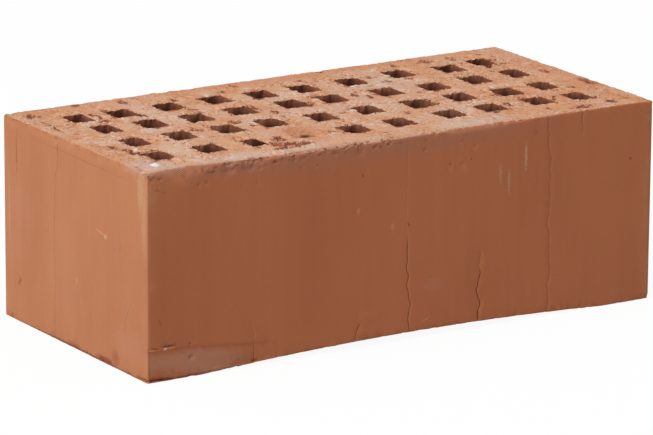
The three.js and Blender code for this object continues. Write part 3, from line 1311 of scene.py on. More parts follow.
    def _seal(self) -> Array:
        """The smeared mouth: a shallow dish with curved ripples.

        The dish falls off by a smooth step, and the ripples are a sine of the distance from a
        point beside it.

        Returns:
            Depths.
        """
        inside = ease(self._seal_reach(), 1.05, 0.5)
        swing = np.linalg.norm(self._from_seal((3.0, 30.0)), axis=1)
        ripple = 0.14 * np.sin(swing * 2 * math.pi / 2.2 + 2.0 * self._noise(24, 6.0))
        return inside * (0.3 + ripple)

    def _dust(self) -> Array:
        """Where a pale pink bloom lies on the bed: mostly along the front and on the left.

        Returns:
            A mask.
        """
        wander = 0.5 * self._noise(26, 18.0, 3)
        strewn = np.max([ease(s.reach(self.places) + wander, 1.25, 0.3) for s in DUST], axis=0)
        x, y = self.places[:, 0], self.places[:, 1]
        base = ease(x, 75, 45) * ease(x, -122, -104) * ease(y, 50, 30)
        return 0.35 * base + 0.65 * strewn

    def _torn(self) -> tuple[Array, Array]:
        """The torn patches of the upper bed, and flecks under its front and left arrises.

        Returns:
            The patches' mask, and their depths.
        """
        x, y, z = self.places.T
        below = self.block.height - z
        near_top = ease(below, 6.5, 3.5) * ease(np.maximum(self.normals[:, 2], 0), -0.6, 0.4)
        dense = 0.3 * ease(below, 5.5, 2.5) * ease(x, 10.0, -10.0)
        front = ease(y, -58.0, -59.5) * ease(x, 70.0, 20.0)
        left = 0.8 * ease(x, -123.5, -124.6) * ease(below, 2.5, 0.5)
        flecks = ease(self._noise(55, 1.8, 2) + dense, 0.42, 0.6)
        flecks *= np.maximum(front * ease(below, 18.0, 6.0), left)
        ragged = self._noise(31, 2.4, 3)
        mask, deep = np.zeros(len(x)), np.zeros(len(x))
        for patch in PATCHES:
            full = min(1.0, 0.55 + 0.4 * patch.amount)
            here = ease(patch.reach(self.places) + 0.85 * ragged, 1.1, 0.75) * full
            mask = np.maximum(mask, here)
            deep = np.maximum(deep, here * patch.amount)
        crumbs = np.clip(0.55 + 1.6 * self._noise(32, 2.4, 2), 0.05, 1.4)
        return np.maximum(mask * near_top, 0.8 * flecks), deep * crumbs * near_top + 0.35 * flecks

    def _cracks(self) -> tuple[Array, Array]:
        """The drying cracks.

        Returns:
            The cracks' mask, and their depths.
        """
        x, y, z = self.places.T
        ragged = self._noise(33, 3.0, 2)
        front = ease(y + self.block.width / 2, 5.0, 2.5)
        left = ease(x + self.block.length / 2, 4.0, 2.0)
        deep, mask = np.zeros(len(x)), np.zeros(len(x))
        for cracks, across, run, weight in (
            (FRONT_CRACKS, x, z, front * np.clip(self.side + self.up, 0, 1)),
            (LEFT_CRACKS, y, z, left * np.clip(self.side + self.up, 0, 1)),
            (BED_CRACKS, x, y, self.up),
            (SEAL_CRACKS, y, x, self.up),
        ):
            for crack in cracks:
                groove = crack.groove(across, run, ragged) * weight
                deep = np.maximum(deep, groove)
                mask = np.maximum(mask, groove / crack.depth)
        return mask, deep

    def _arrises(self) -> tuple[Array, Array]:
        """Chips along the beds' arrises, and the edges that are paler: partly by wear, partly as a
        painted highlight.

        A chip's depth is noise above a threshold, times how near the arris a point lies. The
        back and right arrises are the most broken.

        Returns:
            Depths, and the mask of the paler edges: partly wear, partly a painted highlight.
        """
        block = self.block
        x, y, z = self.places.T
        from_end, from_side = block.length / 2 - np.abs(x), block.width / 2 - np.abs(y)
        outer = np.minimum(from_end, from_side)
        outside = 1 - self.bore
        top = ease(z, block.height - 5.5, block.height - 1.0)
        foot = ease(z - block.lower_bed(x), 4.0, 0.8)
        near = ease(outer, 5.0, 0.8) * outside
        coarse = self._noise(34, 9.0, 3)
        fine = self._noise(35, 3.4, 2)
        back, right, left = ease(y, 52, 57), ease(x, 116, 121), ease(x, -118, -122)
        broken = 0.5 * back + 0.6 * right + 0.4 * left
        chips = ease(coarse, 0.12, 0.6) * broken
        chips = chips + np.clip(fine, 0, 1) * 0.6 * (left + back + right)
        nibbles = ease(coarse, 0.25, 0.6) * 0.5 + np.clip(fine - 0.2, 0, 1) * 0.7
        front_nicks = np.clip(fine - 0.15, 0, 1) * (0.3 + 0.5 * ease(x, 20.0, -10.0))
        nibbles *= 1 - 0.6 * left
        cut = near * (top * np.maximum(chips, front_nicks) + foot * nibbles)
        # the upright edges and the arrises are made paler: partly wear, partly a painted highlight
        # where the rounded edges catch the light
        upright = ease(np.hypot(from_end, from_side), 5.0, 2.2)
        rubbed_and_highlight = np.maximum(near * top * (1 - ease(-y, 52, 56)), 0.8 * upright)
        wander = ease(self._noise(36, (7.0, 7.0, 18.0), 2), -0.2, 0.5)
        return cut, rubbed_and_highlight * wander * outside * (1 - 0.35 * left * top)

    def _crease(self) -> Array:
        """A skewed crease low on the front face, with the clay pressed in below it.

        The crease falls in straight stretches from the left upright edge. Below it the face steps
        in, and a thin crumbling bead of clay stands along the line for its first stretch, under a
        furrow.

        Returns:
            Depths.
        """
        x, y, z = self.places.T
        line = np.interp(x, (-124, -106, -92, -65, -50), (13.4, 13.1, 11.1, 8.9, 8.1))
        line += 0.4 * self._noise(37, 5.0, 3)
        here = ease(y, -54, -58) * ease(x, -58, -74)
        below = ease(z - line, 0.4, -0.5) * ease(z, 0.0, 3.0)
        beaded = ease(x, -100, -106) * ease(x, -124.9, -124.2)
        rough = 1.8 * ease(self._noise(38, 1.6, 2), -0.25, 0.3)
        bead = np.exp(-(((z - line) / 0.5) ** 2)) * beaded * rough
        furrow = np.exp(-(((z - line - 1.0) / 0.4) ** 2)) * beaded * rough
        crease = np.exp(-(((z - line) / 0.3) ** 2)) * (1 - beaded) * rough
        return here * (0.3 * below - 0.36 * bead + 0.4 * furrow + 0.1 * crease + 0.12)

    def _dents(self) -> Array:
        """Small dents, beads and pebbles.

        Returns:
            Depths.
        """
        total = np.zeros(len(self.places))
        block = self.block
        ends = (block.length / 2, block.width / 2, block.height)
        ragged = 0.25 * self._noise(39, 1.8, 2)
        for oval in DENTS:
            _, _, normal, end = oval.side.value
            near = ease(ends[normal] - end * self.places[:, normal], 5.0, 3.0)
            facing = self.up if oval.side is Side.UPPER_BED else np.clip(self.side + self.up, 0, 1)
            pressed = ease(oval.reach(self.places) + ragged, 1.2, 0.35)
            total += oval.amount * pressed * near * facing
        return total


# ---- Finish ----


def seen(red: int, green: int, blue: int) -> Colour:
    """The linear colour that shaders use for a colour given as it is seen, in 8-bit steps."""
    parts = [channel / 255 for channel in (red, green, blue)]
    return (*(p / 12.92 if p <= 0.04045 else ((p + 0.055) / 1.055) ** 2.4 for p in parts), 1.0)


@dataclass
class Value:
    """A number on its way through a material's nodes, on which sums can be written."""

    nodes: "Nodes"
    socket: Socket

    def _math(self, operation: str, *numbers: Self | float) -> Self:
        """Adds a Math node, which works on Values and plain numbers."""
        made = self.nodes.add("Math", dict(enumerate(numbers)), operation=operation)
        return Value(self.nodes, made.outputs[0])

    def __add__(self, other: Self | float) -> Self:
        """The sum."""
        return self._math("ADD", self, other)

    __radd__ = __add__

    def __mul__(self, other: Self | float) -> Self:
        """The product."""
        return self._math("MULTIPLY", self, other)

    __rmul__ = __mul__

    def __sub__(self, other: Self | float) -> Self:
        """The difference."""
        return self._math("SUBTRACT", self, other)

    def __rsub__(self, other: float) -> Self:
        """The difference from a plain number."""
        return self._math("SUBTRACT", other, self)

    def highest(self, other: Self | float) -> Self:
        """The larger of the two."""
        return self._math("MAXIMUM", self, other)

    def sine(self) -> Self:
        """The sine of the number in radians."""
        return self._math("SINE", self)

    def held(self) -> Self:
        """The number held between 0 and 1."""
        return self._math("MINIMUM", self.highest(0.0), 1.0)

    def step(self, low: float, high: float) -> Self:
        """Eases from 0 at low to 1 at high.

        Args:
            low: Where the step starts.
            high: Where it ends.

        Returns:
            The eased number.
        """
        numbers = {"Value": self, "From Min": low, "From Max": high}
        made = self.nodes.add("MapRange", numbers, interpolation_type="SMOOTHSTEP")
        return Value(self.nodes, made.outputs[0])


@dataclass
class Nodes:
    """The nodes of one material."""

    tree: bpy.types.NodeTree

    def add(self, kind: str, values: dict[int | str, object], **settings: object) -> bpy.types.Node:
        """Adds a node.

        Args:
            kind: The node's type, as Blender names it after ShaderNode.
            values: A number, a colour, a Value or a socket for each input, by place or name.
            settings: Its properties, which are set first.

        Returns:
            The node.
        """
        made = self.tree.nodes.new("ShaderNode" + kind)
        for name, setting in settings.items():
            setattr(made, name, setting)
        for key, value in values.items():
            if isinstance(value, Value):
                self.tree.links.new(value.socket, made.inputs[key])
            elif isinstance(value, Socket):
                self.tree.links.new(value, made.inputs[key])
            else:
                made.inputs[key].default_value = value
        return made

    def attribute(self, name: str) -> Value:
        """A number that the mesh holds at its points."""
        made = self.add("Attribute", {}, attribute_name=name)
        return Value(self, made.outputs["Fac"])

    def mix(self, share: Value | float, first: Socket | Colour, second: Socket | Colour) -> Socket:
        """Mixes two colours.

        Args:
            share: How much of the second.
            first: A colour or a socket.
            second: A colour or a socket.

        Returns:
            The mixed colour's socket.
        """
        values = {0: share, 6: first, 7: second}  # the inputs for colours
        return self.add("Mix", values, data_type="RGBA", clamp_factor=True).outputs[2]


@dataclass
class ClayNodes(Nodes):
    """The nodes of the clay, which know the place and the masks of each point."""

    place: Socket = field(init=False)  # object coordinates
    masks: dict[str, Value] = field(init=False)

    def __post_init__(self) -> None:
        """Reads the place, and what the mesh says of each point."""
        self.place = self.add("TexCoord", {}).outputs["Object"]
        names = "bed bore torn crack worn dust seal rim grit header combed deep".split()
        self.masks = {name: self.attribute(name) for name in names}

    def _from(
        self, middle: Sequence[float], size: Sequence[float], turn: Sequence[float] = (0.0,) * 3
    ) -> Socket:
        """The place as seen from a middle, with a turn taken out, in units of a size."""
        sight = {"Vector": self.place, "Location": middle, "Rotation": turn, "Scale": size}
        return self.add("Mapping", sight, vector_type="TEXTURE").outputs[0]

    def grain(
        self,
        size: float,
        detail: float = 2.0,
        stretch: Triple = (1.0, 1.0, 1.0),
        shift: float = 0.0,
        roughness: float = 0.5,
    ) -> Value:
        """Noise about -1 to 1, with sizes in millimetres.

        Args:
            size: The width of its blots.
            detail: Octaves.
            stretch: How much longer the blots are along each axis.
            shift: Sets one field apart from another.
            roughness: How strong each octave is beside the last.

        Returns:
            The noise.
        """
        moved = self._from((shift * size * MM,) * 3, [size * MM * long for long in stretch])
        look = {"Vector": moved, "Scale": 1.0, "Detail": detail, "Roughness": roughness}
        return (Value(self, self.add("TexNoise", look).outputs[0]) - 0.5) * 3.0

    def oval(self, oval: Oval) -> Value:
        """A ball of shade about an oval: 2 at its middle, 1 at its rim and 0 at twice its size.

        Args:
            oval: Where it lies.

        Returns:
            The shade.
        """
        first, second, normal, end = oval.side.value
        middle, size, turn = [0.0] * 3, [0.0] * 3, [0.0] * 3
        middle[first], middle[second] = oval.along * MM, oval.level * MM
        middle[normal] = CAD_BOX[1 if end > 0 else 0][normal]
        size[first], size[second], size[normal] = oval.length * MM, oval.width * MM, MARK_DEPTH * MM
        backwards = normal == 1  # about y a turn goes from z to x
        turn[normal] = math.radians(oval.turn) * (-1 if backwards else 1)
        moved = self._from(middle, size, turn)
        ball = self.add("TexGradient", {0: moved}, gradient_type="SPHERICAL")
        return 2.0 * Value(self, ball.outputs["Fac"])


class Tint(Enum):
    """Colours laid on the clay: foreign stains and specks, and in places painted shade and highlights.
    """

    CREAM = seen(214, 178, 142)
    CHALK = seen(236, 226, 218)
    SLATE = seen(128, 118, 118)
    RUST = seen(150, 74, 46)
    ORANGE = seen(204, 116, 68)
    BLUSH = seen(196, 138, 112)
    ASH = seen(204, 178, 166)
    UMBER = seen(150, 94, 68)
    SOOT = seen(92, 48, 34)


# fmt: off
MARKS: dict[Tint, tuple[Oval, ...]] = {
    Tint.ASH: ovals(bed=(
        (-115, -49, 26, 24, 0.5), (-84, -53, 50, 12, 0.3), (40, -53, 40, 12, 0.4),
        (40, 24, 30, 40, 0.2),
    )),
    Tint.CREAM: ovals(front=(
        (59.7, 71, 1.8, 12, 0.42), (51.2, 62, 1.6, 11, 0.3), (46.8, 66, 1.6, 9, 0.25),
        (-24, 59, 2, 3, 0.25), (-7, 50, 2, 3, 0.25), (10, 7.5, 6, 0.7, 0.3, 25),
    ), left=(
        # Beside the left end's front corner the first two are partly pale wear and partly a painted
        # highlight.
        (-54.5, 79, 5, 18, 0.3), (-57, 68, 4, 26, 0.22), (-22, 55, 10, 0.6, 0.45, 12),
        (-26, 54, 2.4, 2, 0.6), (-1.7, 29.7, 1.4, 3.4, 0.4), (55.5, 45, 1.5, 40, 0.25),
    ), bed=(
        (72, 24.7, 3.4, 9, 0.55, 25), (115.7, -7.7, 2.6, 6, 0.5), (62.5, -2.7, 2, 8, 0.5, -25),
        (-117, 4.5, 14, 1.2, 0.4, 14), (-118, 19, 1.6, 9, 0.4, 5), (-56.5, -19.5, 7, 5, 0.8, 35),
        (18.7, -35, 7, 4, 0.35), (-18, -28, 5, 3, 0.35), (-82.5, 3.5, 6, 7, 0.35),
        (-94, -30, 9, 22, 0.35, 12), (83, 46, 4, 3, 0.4), (-9, 7, 4, 3, 0.5), (27, -53, 20, 8, 0.25),
    )),
    Tint.CHALK: ovals(front=(
        (-116.7, 13.4, 1.6, 1, 0.9, 20), (-115.5, 14.6, 1, 0.7, 0.6), (-120, 83.5, 0.7, 1.2, 0.15, 20),
        (-119, 81.5, 0.7, 1.2, 0.15, 20),
    ), bed=(
        (-114.6, -48, 4.2, 6.4, 1, -20), (29.8, 28.4, 6, 2, 0.9), (-104.7, 2.8, 1.3, 2.4, 0.7),
        (-23.3, -39.7, 1.6, 2.4, 0.7), (94.5, 49.5, 2.2, 1.6, 0.5), (-4.8, 6, 1.8, 1.6, 0.5),
        (-107.5, -22, 3, 4, 0.6, 30), (59.5, -15, 1.4, 2.4, 0.5), (67.5, -34, 1, 3.6, 0.5, -20),
        (15.8, 1.2, 0.8, 4, 0.5, -25), (47, 5, 1.2, 3, 0.4), (-62.5, 9, 1, 2.4, 0.6, -30),
    )),
    Tint.SLATE: ovals(front=(
        (-104, 8.3, 2.4, 1.8, 0.6), (-20, 86, 190, 14, 0.17),
    ), left=(
        (-44.5, 27, 0.7, 14, 0.45, 28), (-38, 52, 1.2, 4, 0.35, 10), (-34, 50.5, 1, 3, 0.35),
        (37, 57.6, 1, 5, 0.35), (59, 29, 0.9, 4, 0.35), (49, 68.5, 1.2, 2.4, 0.4),
    ), bed=(
        (-25.7, -3.4, 1.8, 4, 0.85, -15), (-22.3, 11.5, 0.9, 3, 0.85, -25), (-6.5, 4.5, 2.2, 3.4, 0.5),
        (111, 29.5, 2.4, 2.4, 0.7), (-72.8, -23.5, 0.9, 3.6, 0.6, -25),
        (-54.5, -20.5, 1.6, 5, 0.5, -25), (-47.5, -36, 2, 3, 0.6), (-80.5, -42.5, 3, 4, 0.4),
    )),
    Tint.RUST: ovals(front=(
        (-86, 4, 20, 6, 0.35, -5), (-119, 25, 0.9, 4, 0.5, 20), (-74, 84, 5, 5, 0.2, 20),
    ), left=(
        (49, 73, 1, 24, 0.55), (-34, 4.5, 7, 8, 0.4), (-25, 1.5, 16, 3, 0.6),
        (47.4, 17.2, 2.2, 3, 0.6), (-4, 82.3, 92, 0.5, 0.3, 0.6), (54, 1.2, 3, 3, 0.6),
    ), bed=(
        (-42, -59, 34, 2.4, 0.3, -1), (122, -15, 5, 17, 0.5), (100, 27, 5, 5, 0.4),
        (-117.5, -6, 0.7, 90, 0.3, 0.5),
    )),
    Tint.ORANGE: ovals(front=(
        (-120.5, 13, 7, 2.2, 0.9, -3), (-113, 12.7, 8, 2.4, 0.7, 2), (-103, 12.6, 9, 1, 0.6, -3),
        (-90, 11, 9, 0.9, 0.6, -7), (-53, 8.6, 34, 0.7, 0.5, -4), (-26, 6.2, 24, 0.7, 0.5, -6),
        (-18, 13, 11, 5, 0.35, 12),
    ), bed=(
        (-33, -31, 20, 20, 0.15), (-55, -43.5, 11, 7, 0.4, 12), (10, 57, 190, 12, 0.25),
        (118, 0, 12, 100, 0.2),
    )),
    # On the front: painted shade over the rolled arris. On the bed: the smeared mouth's own brown.
    Tint.UMBER: ovals(front=(
        (-105, 88.5, 44, 12, 0.75), (-84, 86, 14, 6, 0.3),
    ), bed=(
        (-33, -31, 20, 18, 0.15),
    )),
    # Painted shade: along the foot of the front and the left end, low on the front below the crease,
    # along the crease's bead, in dents, and in the smeared mouth's slit; and a few dark specks.
    Tint.SOOT: ovals(front=(
        (-121.5, 14.2, 4, 1, 0.6, -4), (-114.5, 14.6, 7, 1.1, 0.65, 3), (-22, 73.9, 0.9, 2, 0.5, 20),
        (1, 49.8, 1, 2.6, 0.5, 30), (114, 63.6, 1.4, 1.6, 0.4), (21.6, 73.1, 1.3, 1, 0.4),
        (31.8, 73.8, 1, 1, 0.5), (-93, 0, 72, 3.4, 0.8), (-98, 1, 74, 16, 0.16),
    ), left=(
        (-8, 0, 104, 2.8, 0.6),
    ), bed=(
        (-34.9, -36.4, 6, 5, 0.9, -8), (-31.4, -38.6, 3, 3, 0.6),
    )),
    Tint.BLUSH: ovals(front=(
        (-102, 6.4, 50, 11, 0.65, -5), (13, 22, 12, 6, 0.2), (-86.5, 85.5, 7, 6, 0.45),
        (-75, 85.5, 10, 6, 0.35),
    ), left=(
        (46, 50, 24, 24, 0.22), (48, 34, 18, 16, 0.18), (-46, 12, 30, 16, 0.28), (8, 30, 30, 50, 0.15),
    )),
}
# fmt: on


@dataclass(frozen=True)
class FiredClay:
    """The brick's clay, from smooth drawn faces to torn beds."""

    stretcher_dark: Colour = seen(184, 108, 70)
    stretcher_light: Colour = seen(196, 119, 80)
    # The ends are paler and less red than the front: partly clay that differs from face to face,
    # partly painted light for the sheen the ends catch.
    header_dark: Colour = seen(182, 116, 79)
    header_light: Colour = seen(198, 132, 92)
    bed_brown: Colour = seen(184, 118, 78)
    bed_orange: Colour = seen(211, 148, 104)
    bed_pink: Colour = seen(212, 167, 140)
    bed_pale: Colour = seen(222, 196, 180)
    # the perforations' clay is darker than the faces': partly its own colour, partly painted shade of
    # their insides
    core_dark: Colour = seen(114, 59, 38)
    core_light: Colour = seen(162, 104, 76)
    torn_dark: Colour = seen(124, 68, 48)
    torn_rust: Colour = seen(158, 86, 56)
    torn_light: Colour = seen(190, 120, 84)
    # paler edges: partly wear, partly a painted highlight
    rubbed_and_highlight: Colour = seen(214, 158, 118)
    shadow: Colour = seen(76, 40, 28)
    # The comb's dark and light stripes are painted shade and light of its fine grooves, and they
    # darken the tilted roll as painted shade.
    comb_dark: Colour = seen(112, 62, 40)
    comb_light: Colour = seen(196, 138, 104)
    comb_wave: Triple = (5812.0, 0.0, 5341.0)  # radians to the metre
    ior: float = 1.45
    specular: float = 0.3

    def make(self) -> bpy.types.Material:
        """Makes the material.

        Returns:
            The material.
        """
        material = bpy.data.materials.new("fired_clay")
        material.use_nodes = True
        material.node_tree.nodes.clear()
        clay = ClayNodes(material.node_tree)
        grain, masks = clay.grain, clay.masks
        masks["gritty"] = grain(14.0, 2.0, shift=41.0).step(-0.3, 0.3)
        speck = grain(1.1, 2.0)
        bloom = (masks["bed"] + 0.3 * grain(1.3, 3.0, shift=17.0)).step(0.3, 0.7)
        colour = clay.mix(bloom, self._face(clay), self._bed(clay))
        colour = self._crumbs(clay, bloom, colour)
        # paler edges: partly wear, partly a painted highlight
        colour = clay.mix((masks["worn"] * (0.3 + 0.25 * speck)).held(), colour, self.rubbed_and_highlight)
        comb = self._comb(clay)
        combed = clay.mix((0.5 + 0.5 * comb).held(), self.comb_dark, self.comb_light)
        colour = self._marks(clay, colour)
        # painted shade and light of the comb's grooves, over the rolled arris
        colour = clay.mix(masks["combed"] * 0.8, colour, combed)
        # painted shade: the dark of the perforations' insides laid in ragged bits over the mouths'
        # rims
        notch = grain(1.0, 3.0, (0.8, 1.6, 1.0), shift=23.0, roughness=0.75)
        broken = (masks["rim"] + 0.9 * notch).step(0.9, 1.05) * 0.9
        colour = clay.mix(broken, colour, self.core_dark)
        colour = clay.mix(masks["bore"], colour, self._core(clay))
        colour = clay.mix(masks["crack"].step(0.15, 0.7) * 0.75, colour, self.shadow)
        roughness = 0.72 + 0.16 * masks["bed"] + 0.08 * masks["torn"] + 0.05 * speck
        look = {
            "Base Color": colour,
            "Roughness": roughness.held(),
            "IOR": self.ior,
            "Specular IOR Level": self.specular,
            "Normal": self._bump(clay, comb),
        }
        shader = clay.add("BsdfPrincipled", look)
        clay.add("OutputMaterial", {"Surface": shader.outputs[0]})
        return material

    def _face(self, clay: ClayNodes) -> Socket:
        """A drawn face: soft upright streaks, cloudy patches and a fine grain.

        Args:
            clay: The material's nodes.

        Returns:
            The colour's socket.
        """
        streak = clay.grain(4.5, 2.0, (1.0, 1.0, 12.0))
        cloud = clay.grain(34.0, 3.0, (1.0, 1.0, 2.2), shift=3.0)
        fine = clay.grain(1.2, 2.0, shift=9.0)
        share = (0.5 + 0.18 * streak + 0.48 * cloud + 0.2 * fine).held()
        stretcher = clay.mix(share, self.stretcher_dark, self.stretcher_light)
        header = clay.mix(share, self.header_dark, self.header_light)
        # paler ends: partly their own clay, partly painted light
        return clay.mix(clay.masks["header"], stretcher, header)

    def _bed(self, clay: ClayNodes) -> Socket:
        """A wire-cut bed: orange clay under pink and pale bloom.

        The bloom's strength is a mottle of many octaves, from a centimetre down to a quarter of a
        millimetre, raised where dust lies, and drawn out a little in the wire's direction. Pits are
        darker, as painted shade, and grains that stand are paler, as painted light.

        Args:
            clay: The material's nodes.

        Returns:
            The colour's socket.
        """
        grain, masks = clay.grain, clay.masks
        mottle = grain(12.0, 6.0, (1.0, 1.2, 1.0), shift=7.0, roughness=0.55)
        fine = grain(0.9, 3.0, (1.0, 1.2, 1.0), shift=2.0, roughness=0.85)
        drag = grain(2.4, 2.0, (1.0, 9.0, 1.0), shift=11.0)
        tone = 0.48 + 0.42 * masks["dust"] + 0.42 * mottle + 0.06 * drag
        tone = tone + (0.8 + 1.3 * masks["gritty"]) * fine - 0.3 * masks["seal"]
        # painted shade in the pits and painted light on the grains that stand
        tone = tone - 0.5 * masks["grit"]
        colour = clay.mix(tone.step(-0.3, 0.5), self.bed_brown, self.bed_orange)
        colour = clay.mix(tone.step(0.3, 0.85), colour, self.bed_pink)
        return clay.mix(tone.step(0.8, 1.5), colour, self.bed_pale)

    def _crumbs(self, clay: ClayNodes, bloom: Value, colour: Socket) -> Socket:
        """Lays raw clay over the torn patches, and dark and pale crumbs over the bed.

        A crumb lies where a noise passes a threshold, dark above and pale below. The threshold
        gives way in torn patches and, for the dark ones, at the mouths' rims and in the pits, where
        the dark crumbs are painted shade.

        Args:
            clay: The material's nodes.
            bloom: Where the bed's bloom lies.
            colour: The colour so far.

        Returns:
            The colour's socket.
        """
        grain, masks = clay.grain, clay.masks
        spots = grain(1.3, 3.0, (1.0, 1.5, 1.0), shift=21.0, roughness=0.75)
        ragged = 0.5 * grain(3.0, 2.0, shift=25.0)
        torn = (masks["torn"] + ragged * masks["torn"].step(0.0, 0.3)).held()
        rust = (0.5 + grain(3.0, 2.0, shift=5.0)).held()
        raw = clay.mix(rust, self.torn_rust, self.torn_light)
        colour = clay.mix(torn * 0.9, colour, raw)
        # dark crumbs: dark clay in torn patches, painted shade in the pits and at the mouths' rims
        ready = 0.09 + 0.72 * torn + 0.3 * masks["rim"] + 0.35 * masks["grit"].highest(0.0)
        dark = (spots + ready).step(0.5, 0.64) * bloom.highest(torn * 0.6)
        colour = clay.mix(dark * 0.85, colour, self.torn_dark)
        pale = (0.55 * torn - 1.0 * spots).step(0.7, 1.0) * bloom
        return clay.mix(pale * 0.6, colour, self.bed_pale)

    def _core(self, clay: ClayNodes) -> Socket:
        """A perforation's wall: stained, and darker deep down and in its back right corner, as painted
        shade.

        Args:
            clay: The material's nodes.

        Returns:
            The colour's socket.
        """
        stain = clay.grain(9.0) + 0.5 * clay.grain(1.6, 2.0, (1.0, 1.0, 4.0), shift=31.0)
        core = clay.mix((0.45 + 0.5 * stain).held(), self.core_dark, self.core_light)
        # painted shade deep in the perforation and in its back right corner
        return clay.mix(clay.masks["deep"] * 0.9, core, self.shadow)

    def _comb(self, clay: ClayNodes) -> Value:
        """Slanting lines 0.8 mm apart, as a sine of the distance across them, bent by noise.

        Args:
            clay: The material's nodes.

        Returns:
            The sine.
        """
        across = clay.add("VectorMath", {0: clay.place, 1: self.comb_wave}, operation="DOT_PRODUCT")
        return (Value(clay, across.outputs["Value"]) + 1.6 * clay.grain(5.0, shift=27.0)).sine()

    def _marks(self, clay: ClayNodes, colour: Socket) -> Socket:
        """Lays the scuffs, specks and stains over a colour, and in places painted shade and
        highlights.

        Noise moves the marks' outlines in and out, and breaks the cream ones into specks.

        Args:
            clay: The material's nodes.
            colour: The colour so far.

        Returns:
            The colour's socket.
        """
        ragged = 0.3 * clay.grain(1.6, 3.0, shift=12.0) + 0.2 * clay.grain(6.0, 1.0, shift=4.0)
        speckled = ragged + 0.7 * clay.grain(0.8, 2.0, shift=29.0)
        for tint, marks in MARKS.items():
            edge = speckled if tint is Tint.CREAM else ragged
            masks = [(clay.oval(mark) - edge).step(0.75, 1.55) * mark.amount for mark in marks]
            colour = clay.mix(reduce(Value.highest, masks), colour, tint.value)
        return colour

    def _bump(self, clay: ClayNodes, comb: Value) -> Socket:
        """Relief too fine for the mesh, as a height in millimetres.

        Args:
            clay: The material's nodes.
            comb: The slanting lines.

        Returns:
            The bumped normal's socket.
        """
        masks = clay.masks
        drag = clay.grain(0.9, 2.0, (1.0, 1.0, 40.0), shift=6.0)
        skin = clay.grain(0.5, 2.0, shift=8.0)
        rough = masks["bed"].highest(masks["torn"])
        pitted = clay.grain(1.3, 3.0, (1.0, 1.3, 1.0), shift=14.0, roughness=0.65)
        height = 0.006 * drag * (1.0 - rough) + 0.008 * skin + 0.035 * comb * masks["combed"]
        height = height + (0.05 + 0.09 * masks["gritty"] + 0.18 * masks["torn"]) * pitted * rough
        bump = clay.add("Bump", {"Strength": 1.0, "Distance": MM, "Height": height})
        return bump.outputs[0]


# ---- The brick ----


